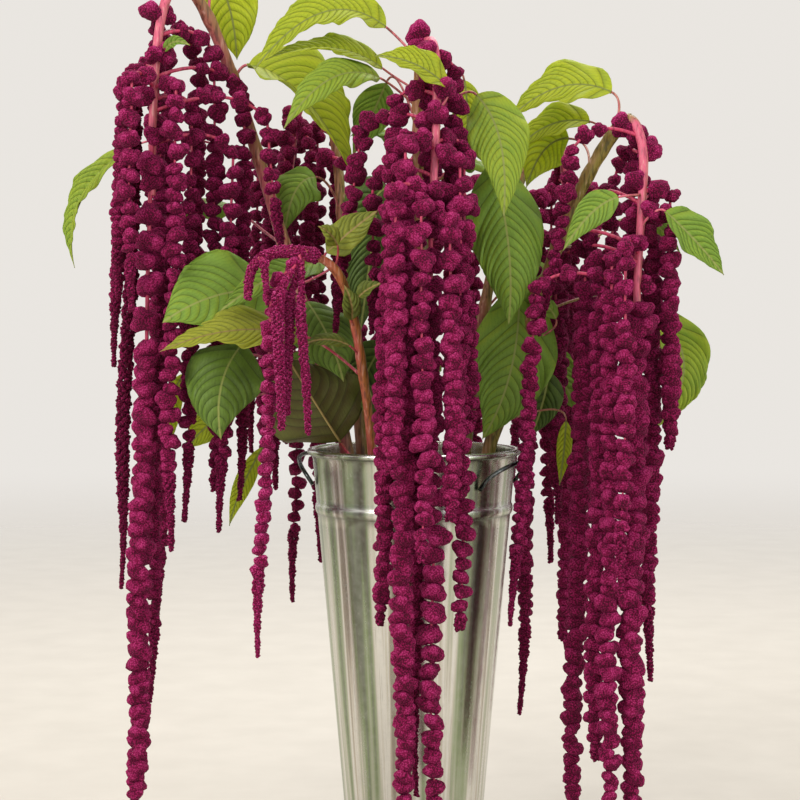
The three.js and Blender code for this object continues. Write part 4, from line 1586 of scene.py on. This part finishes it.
CENTRE_PATH = (
    (4, -16, 2), (5, -20, 130), (6, -24, 260), (8, -28, 385), (8, -30, 509), (5, -28, 620), (4, -30, 690),
    (8, -50, 728), (16, -78, 728), (19, -95, 695), (17, -106, 630), (14, -114, 570),
)
CENTRE_TASSELS = hang(
    (13, 16, -120, 585, 68, 11.5), (-8, -11, -130, 640, 70, 11), (-18, -30, -112, 640, 232, 10),
    (38, 40, -112, 628, 228, 10), (42, 47, -86, 640, 402, 9.5), (-46, -70, -60, 655, 478, 8.5),
    (5, 7, -152, 586, 292, 10), (29, 32, -142, 576, 325, 10), (-16, -18, -152, 600, 366, 9.5),
    (-36, -38, -68, 610, 480, 9), (-16, -18, -84, 680, 440, 9), (35, 33, -66, 705, 505, 9),
    (12, 12, -80, 705, 580, 10), (1, 1, -104, 560, 84, 8),
)
CENTRE_LEAVES = (
    Leaf(716, (-25, -20, 750), (-80, -45, 760), (-138, -68, 708), 50, (0, -0.75, 0.7), 0.3, LIT),
    Leaf(692, (-28, -28, 713), (-74, -48, 729), (-130, -66, 716), 34, (0, -0.6, 0.8), 0.3, LIT),
    Leaf(678, (-30, -42, 703), (-72, -72, 700), (-112, -92, 655), 40, (0, -0.75, 0.7), 0.4, BRIGHT),
    Leaf(650, (54, -48, 688), (74, -74, 645), (76, -90, 580), 52, (0, -1, 0.25), -0.15, BRIGHT),
    Leaf(600, (68, -40, 630), (82, -54, 557), (82, -58, 488), 66, (0, -1, 0.2), -0.15, HALF_LIT),
    Leaf(640, (45, 8, 706), (48, 4, 668), (44, 4, 628), 28, (0, -1, 0), 0.2, LIT),
    Leaf(655, (-25, 15, 704), (-38, 24, 676), (-56, 32, 640), 36, (0, -1, 0), 0.3, HALF_LIT),
    Leaf(590, (-25, 10, 610), (-42, 20, 590), (-50, 24, 550), 50, (0, -1, 0.3), 0.1, DEEP_SHADE),
    Leaf(560, (-34, -14, 585), (-40, -20, 538), (-48, -24, 480), 42, (0.2, -1, 0.2), -0.1, DEEP_SHADE),
    Leaf(470, (-26, 8, 470), (-44, 16, 440), (-54, 20, 402), 44, (0, -1, 0.3), -0.1, DEEP_SHADE),
    Leaf(405, (-22, -26, 402), (-34, -38, 418), (-42, -50, 436), 28, (0.1, -0.9, 0.4), 0.1, DEEP_SHADE),
)

RIGHT_PATH = (
    (28, -2, 2), (38, -4, 130), (49, -6, 260), (66, -8, 370), (94, -12, 455), (118, -15, 530),
    (142, -18, 595), (172, -22, 650), (190, -30, 668), (200, -42, 640), (198, -52, 590), (194, -60, 530),
    (193, -65, 480),
)
RIGHT_TASSELS = hang(
    (194, 188, -66, 500, 58, 12), (224, 224, -45, 600, 378, 9.5), (212, 209, -30, 562, 170, 9),
    (170, 169, -78, 545, 60, 10), (163, 158, -52, 520, 103, 10), (152, 141, -22, 535, 48, 10),
    (128, 133, 22, 538, 310, 9), (106, 86, -64, 520, 225, 8), (110, 98, 34, 548, 127, 8),
    (138, 131, 46, 580, 303, 8), (138, 112, -44, 640, 478, 8), (180, 179, -96, 555, 250, 9),
    (216, 206, 12, 580, 270, 9), (182, 170, 24, 617, 352, 9), (196, 190, -14, 640, 420, 10),
)
RIGHT_LEAVES = (
    Leaf(655, (176, -6, 694), (132, 0, 700), (86, 6, 672), 50, (0, -0.75, 0.65), 0.2, LIT),
    Leaf(640, (159, 22, 670), (126, 32, 669), (96, 38, 648), 36, (0, -0.8, 0.6), 0.3, LIT),
    Leaf(620, (142, 42, 656), (120, 54, 646), (104, 60, 612), 44, (0, 1, -0.2), 0.2, LIT),
    Leaf(510, (94, -8, 522), (86, -28, 448), (60, -36, 386), 74, (0, -1, 0.3), -0.1, HALF_LIT),
    Leaf(440, (122, 8, 444), (116, 10, 414), (106, 10, 386), 34, (0, -1, 0.3), 0.1, DEEP_SHADE),
    Leaf(398, (137, 0, 400), (135, 0, 372), (131, 0, 342), 14, (0, -1, 0.1), 0.1, LIT),
    Leaf(490, (226, 62, 498), (250, 54, 446), (222, 44, 390), 46, (0.3, -0.9, 0.2), 0.2, BRIGHT),
    Leaf(470, (126, -22, 492), (117, -28, 504), (104, -32, 505), 17, (0, -0.8, 0.5), 0.2, HALF_LIT),
    Leaf(560, (180, 60, 575), (215, 74, 585), (250, 84, 552), 50, (0.1, 0.2, 1), -0.1, HALF_LIT),
)

BACK_LEFT_PATH = (
    (-26, 26, 2), (-32, 33, 130), (-39, 40, 260), (-48, 50, 372), (-58, 62, 480), (-66, 76, 580),
    (-74, 88, 660), (-90, 102, 704), (-107, 115, 690), (-116, 121, 640), (-120, 122, 580),
)
BACK_LEFT_TASSELS = hang(
    (-120, -124, 122, 600, 372, 10), (-96, -102, 94, 655, 392, 9), (-118, -130, 80, 672, 332, 9),
    (-138, -144, 140, 660, 295, 9), (-92, -92, 150, 665, 254, 9), (-114, -116, 168, 655, 213, 8.5),
    (-150, -158, 160, 640, 360, 8), (-74, -70, 134, 660, 333, 8), (-52, -49, 39, 620, 410, 8.5),
)
BACK_LEFT_LEAVES = (
    Leaf(590, (-90, 60, 622), (-108, 48, 610), (-118, 40, 570), 46, (-0.2, -0.9, 0.4), -0.1, HALF_LIT),
    Leaf(520, (-46, 96, 548), (-38, 130, 566), (-44, 174, 542), 42, (0, 0.3, 1), -0.1, HALF_LIT),
    Leaf(440, (-82, 56, 452), (-112, 46, 452), (-138, 40, 412), 38, (-0.2, -0.5, 0.8), -0.1, HALF_LIT),
    Leaf(410, (-50, 98, 424), (-40, 134, 424), (-42, 172, 388), 42, (0, 0.4, 0.9), -0.1, HALF_LIT),
)

BACK_RIGHT_PATH = (
    (24, 24, 2), (31, 31, 130), (38, 38, 260), (48, 48, 372), (62, 60, 480), (78, 74, 555), (100, 90, 620),
    (124, 108, 668), (140, 124, 655), (146, 131, 600), (146, 132, 545),
)
BACK_RIGHT_TASSELS = hang(
    (146, 146, 132, 565, 180, 10), (120, 124, 98, 600, 393, 9), (166, 170, 112, 612, 296, 9),
    (134, 132, 158, 620, 252, 9), (172, 180, 146, 600, 214, 8.5), (104, 98, 134, 600, 333, 8.5),
    (154, 160, 174, 610, 360, 8),
)
BACK_RIGHT_LEAVES = (
    Leaf(500, (98, 66, 528), (122, 68, 526), (138, 66, 492), 36, (0.1, -0.8, 0.5), -0.1, HALF_LIT),
    Leaf(470, (68, 98, 490), (72, 138, 500), (74, 182, 464), 34, (0, 0.3, 1), -0.1, HALF_LIT),
    Leaf(590, (72, 94, 628), (50, 106, 642), (26, 108, 622), 44, (0, 0.1, 1), -0.1, HALF_LIT),
    Leaf(430, (98, 70, 446), (130, 74, 440), (158, 72, 400), 50, (0, -0.9, 0.4), -0.1, HALF_LIT),
)

BACK_PATH = (
    (0, 34, 2), (2, 44, 130), (4, 55, 260), (6, 68, 372), (8, 90, 480), (10, 112, 570), (11, 140, 650),
    (12, 168, 696), (16, 190, 680), (18, 200, 610), (18, 202, 540),
)
BACK_TASSELS = hang(
    (18, 17, 202, 560, 108, 10.5), (-8, -14, 178, 640, 290, 9.5), (44, 46, 176, 635, 250, 9.5),
    (0, -4, 222, 640, 186, 9.5), (38, 40, 222, 640, 326, 9.5), (-28, -36, 204, 630, 358, 9),
    (60, 66, 202, 625, 208, 9),
)
BACK_LEAVES = (
    Leaf(540, (40, 130, 562), (74, 148, 572), (110, 160, 545), 54, (0.1, 0.2, 1), -0.1, HALF_LIT),
    Leaf(500, (-14, 130, 520), (-38, 152, 524), (-50, 186, 488), 42, (-0.2, 0.3, 1), -0.1, HALF_LIT),
    Leaf(620, (-14, 130, 655), (-36, 132, 674), (-60, 124, 664), 40, (0, 0.1, 1), -0.1, HALF_LIT),
    Leaf(420, (6, 116, 436), (8, 150, 442), (8, 182, 412), 38, (0, 0.4, 1), -0.1, HALF_LIT),
)

YOUNG_PATH = (
    (-20, -34, 2), (-24, -40, 130), (-30, -47, 260), (-37, -56, 376), (-44, -70, 440), (-54, -81, 500),
    (-68, -89, 535), (-92, -97, 549), (-121, -104, 549), (-138, -109, 536), (-142, -111, 510),
)
YOUNG_TASSELS = hang(
    (-121, -134, -112, 514, 205, 7.5), (-115, -115, -127, 514, 400, 6.5), (-106, -106, -112, 511, 412, 5.5),
    (-97, -91, -118, 500, 396, 5.5), (-96, -95, -107, 534, 513, 4), (-127, -122, -120, 542, 506, 4.5),
)
YOUNG_LEAVES = (
    Leaf(444, (-96, -66, 478), (-154, -94, 484), (-216, -114, 466), 48, (0, -0.7, 0.75), 0.1, LIT),
    Leaf(528, (-76, -80, 550), (-56, -84, 568), (-32, -86, 586), 34, (0, -0.8, 0.6), 0.1, BRIGHT),
    Leaf(535, (-66, -96, 556), (-72, -104, 566), (-82, -110, 572), 20, (0, -0.8, 0.6), 0.2, BRIGHT),
    Leaf(500, (-48, -84, 512), (-40, -88, 519), (-28, -92, 524), 16, (0, -0.8, 0.6), 0.2, HALF_LIT),
    Leaf(460, (-56, -84, 470), (-76, -94, 476), (-98, -102, 470), 14, (0, -0.8, 0.6), 0.2, HALF_LIT),
    Leaf(484, (-54, -88, 492), (-54, -98, 506), (-60, -102, 522), 18, (0.3, -0.9, 0.2), 0.2, HALF_LIT),
    Leaf(345, (-66, -34, 384), (-87, -51, 419), (-112, -57, 460), 88, (0.1, 0.85, -0.3), 0.2, DEEP_SHADE),
)

LONG_OPENING = Opening(starts=142.5, ends=190.0, gap=1.5)

PLANTS = (
    Plant("left", LEFT_PATH, LEFT_TASSELS, LEFT_LEAVES, join=8, blush=0.45, main_opening=LONG_OPENING),
    Plant("centre", CENTRE_PATH, CENTRE_TASSELS, CENTRE_LEAVES),
    Plant("right", RIGHT_PATH, RIGHT_TASSELS, RIGHT_LEAVES, join=8, blush=0.12),
    BackPlant("back_left", BACK_LEFT_PATH, BACK_LEFT_TASSELS, BACK_LEFT_LEAVES),
    BackPlant("back_right", BACK_RIGHT_PATH, BACK_RIGHT_TASSELS, BACK_RIGHT_LEAVES),
    BackPlant("back", BACK_PATH, BACK_TASSELS, BACK_LEAVES),
    YoungPlant("young", YOUNG_PATH, YOUNG_TASSELS, YOUNG_LEAVES, blush=0.5),
)

BRACTS = (
    Bract("bract_left", "left",
          Leaf(742, (-218, -50, 725), (-208, -58, 733), (-194, -64, 729), 11, (0, -1, 0.4), 0.1, HALF_LIT)),
    Bract("bract_centre", "centre",
          Leaf(668, (27, -106, 690), (0, -117, 708), (-34, -114, 715), 32, (0, -0.75, 0.65), 0.25, LIT)),
    Bract("bract_right_inner", "right",
          Leaf(600, (176, -72, 598), (152, -78, 584), (128, -78, 552), 28, (0, -1, 0.3), 0.1, HALF_LIT)),
    Bract("bract_right_outer", "right",
          Leaf(572, (217, -68, 586), (243, -62, 562), (270, -55, 531), 36, (0.2, -0.9, 0.4), 0.3, HALF_LIT)),
)


@dataclass(frozen=True)
class Studio:
    """The floor, the lights and the camera. None of it is part of the bucket or the flowers."""

    focal_length: float = 99.0
    sensor: float = 36.0
    distance: float = 1.98
    nearest_seen: float = 0.05
    aim: Point = (-0.0126, 0.0, 0.419)
    look_down: float = 2.9
    floor_radius: float = 9.0
    floor_sides: int = 96
    floor_fades: Pair = (0.6, 4.5)
    paper: Colour = (0.82, 0.79, 0.75)

    def floor(self) -> None:
        """Lay a wide pale floor that fades into the room's light far out."""
        angles = spokes(self.floor_sides)
        rim = np.stack([np.cos(angles), np.sin(angles), np.zeros_like(angles)], axis=-1) * self.floor_radius
        mesh = bpy.data.meshes.new("floor")
        mesh.from_pydata(rim.tolist(), [], [list(range(self.floor_sides))])
        shading = Shading("pale_floor")
        grain = shading.noise(shading.place(), 14, 4)
        plain = shading.ramp(grain, (0.3, 0.7), (seen(204, 199, 191), seen(210, 205, 197)))
        surface = shading.principled(Base_Color=plain, Roughness=0.85, Specular_IOR_Level=0.1)
        away = shading.vector("LENGTH", shading.place(), output="Value")
        clear = shading.add("ShaderNodeBsdfTransparent", {}, {})
        mesh.materials.append(shading.finish(shading.mixed(away.step(*self.floor_fades), surface, clear)))
        floor = bpy.data.objects.new("floor", mesh)
        bpy.context.scene.collection.objects.link(floor)

    def light(self, name: str, place: Point, aim: float, size: float, power: float, colour: Colour) -> None:
        """Hang one soft square lamp.

        Args:
            name: Its name.
            place: Where it hangs, in metres.
            aim: How far up the object's middle it shines.
            size: The side of its square.
            power: Its power in watts.
            colour: Its colour.
        """
        lamp = bpy.data.lights.new(name, "AREA")
        lamp.shape = "SQUARE"
        lamp.size = size
        lamp.energy = power
        lamp.color = colour
        hung = bpy.data.objects.new(name, lamp)
        hung.location = place
        hung.rotation_euler = (Vector((0, 0, aim)) - Vector(place)).to_track_quat("-Z", "Y").to_euler()
        bpy.context.scene.collection.objects.link(hung)

    def camera(self) -> None:
        """Set the camera at the photograph's viewing angle."""
        lens = bpy.data.cameras.new("camera")
        lens.lens = self.focal_length
        lens.sensor_width = self.sensor
        lens.clip_start = self.nearest_seen
        down = math.radians(self.look_down)
        camera = bpy.data.objects.new("camera", lens)
        back = Vector((0, -self.distance * math.cos(down), self.distance * math.sin(down)))
        camera.location = Vector(self.aim) + back
        camera.rotation_euler = (math.pi / 2 - down, 0, 0)
        bpy.context.scene.collection.objects.link(camera)
        bpy.context.scene.camera = camera

    def world(self) -> None:
        """Fill the room with pale even light."""
        world = bpy.data.worlds.new("room")
        world.use_nodes = True
        backdrop = world.node_tree.nodes["Background"]
        backdrop.inputs["Color"].default_value = (*self.paper, 1.0)
        backdrop.inputs["Strength"].default_value = 1.0
        bpy.context.scene.world = world
        bpy.context.scene.view_settings.view_transform = "Standard"

    def build(self) -> None:
        """Set the room up."""
        self.world()
        self.camera()
        self.floor()
        self.light("key", (-1.5, -1.9, 2.1), aim=0.45, size=1.3, power=42, colour=(1.0, 0.97, 0.92))
        self.light("fill", (1.9, -1.6, 1.0), aim=0.35, size=1.6, power=14, colour=(0.95, 0.97, 1.0))
        self.light("sky", (0.3, 1.3, 2.4), aim=0.5, size=1.6, power=36, colour=(1.0, 0.99, 0.95))


def dresses(rng: np.random.Generator) -> dict[type, Dress]:
    """Make what each kind of plant is finished with.

    Args:
        rng: Where chance comes from.

    Returns:
        The dress of each kind.
    """
    lump = BeadMould(20, 0.12, 5, rng)
    near = Moulds(BeadMould(130, 0.06, 10, rng), BeadMould(76, 0.07, 8, rng), lump)
    behind = Moulds(BeadMould(60, 0.07, 7, rng), BeadMould(44, 0.07, 6, rng), lump)
    florets = FloretFinish("ripe_florets", seen(76, 12, 38), seen(140, 18, 74), seen(188, 56, 120))
    young_florets = FloretFinish(
        "young_florets", seen(100, 6, 46), seen(172, 18, 94), seen(234, 100, 168), floret_size=1.3
    )
    stalk = StemFinish("green_stalk", seen(136, 122, 44), seen(172, 102, 86), seen(214, 92, 122))
    young_stalk = StemFinish("young_stalk", seen(122, 100, 40), seen(168, 98, 46), seen(188, 62, 84))
    string = StemFinish(
        "red_string", seen(150, 40, 60), seen(180, 45, 80), seen(200, 60, 100), seen(226, 120, 140)
    )
    leaf = LeafFinish("leaf", seen(70, 94, 34), seen(140, 176, 66), seen(206, 216, 58), seen(168, 178, 96))
    young_leaf = LeafFinish(
        "young_leaf", seen(92, 84, 42), seen(122, 138, 56), seen(196, 200, 72), seen(186, 164, 100)
    )
    red = string.material()
    ripe = (leaf.material(), stalk.material(), red, florets.material(), "leaf", "flower")
    young = (young_leaf.material(), young_stalk.material(), red, young_florets.material())
    return {
        Plant: Dress(*ripe, near),
        BackPlant: Dress(*ripe, behind),
        YoungPlant: Dress(*young, "young_leaf", "young_flower", near),
    }


def main() -> None:
    """Build every piece and set the room up."""
    logging.basicConfig(level=logging.INFO, format="%(message)s")
    Studio().build()
    bucket = Bucket()
    bucket.build(ZincFinish("bright_zinc").material())
    wire = ZincFinish("dark_zinc_wire", wire=True).material()
    Ear("ear_right", -22.0, bucket).build(wire)
    Ear("ear_left", 158.0, bucket).build(wire)
    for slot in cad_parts["water"].material_slots:
        slot.material = WaterFinish("water").material()
    kinds = dresses(np.random.default_rng(SEED))
    for plant in PLANTS:
        plant.build(kinds[type(plant)])
    plants = {plant.name: plant for plant in PLANTS}
    for bract in BRACTS:
        bract.build(plants[bract.plant], kinds[Plant])


if __name__ == "__main__":
    main()
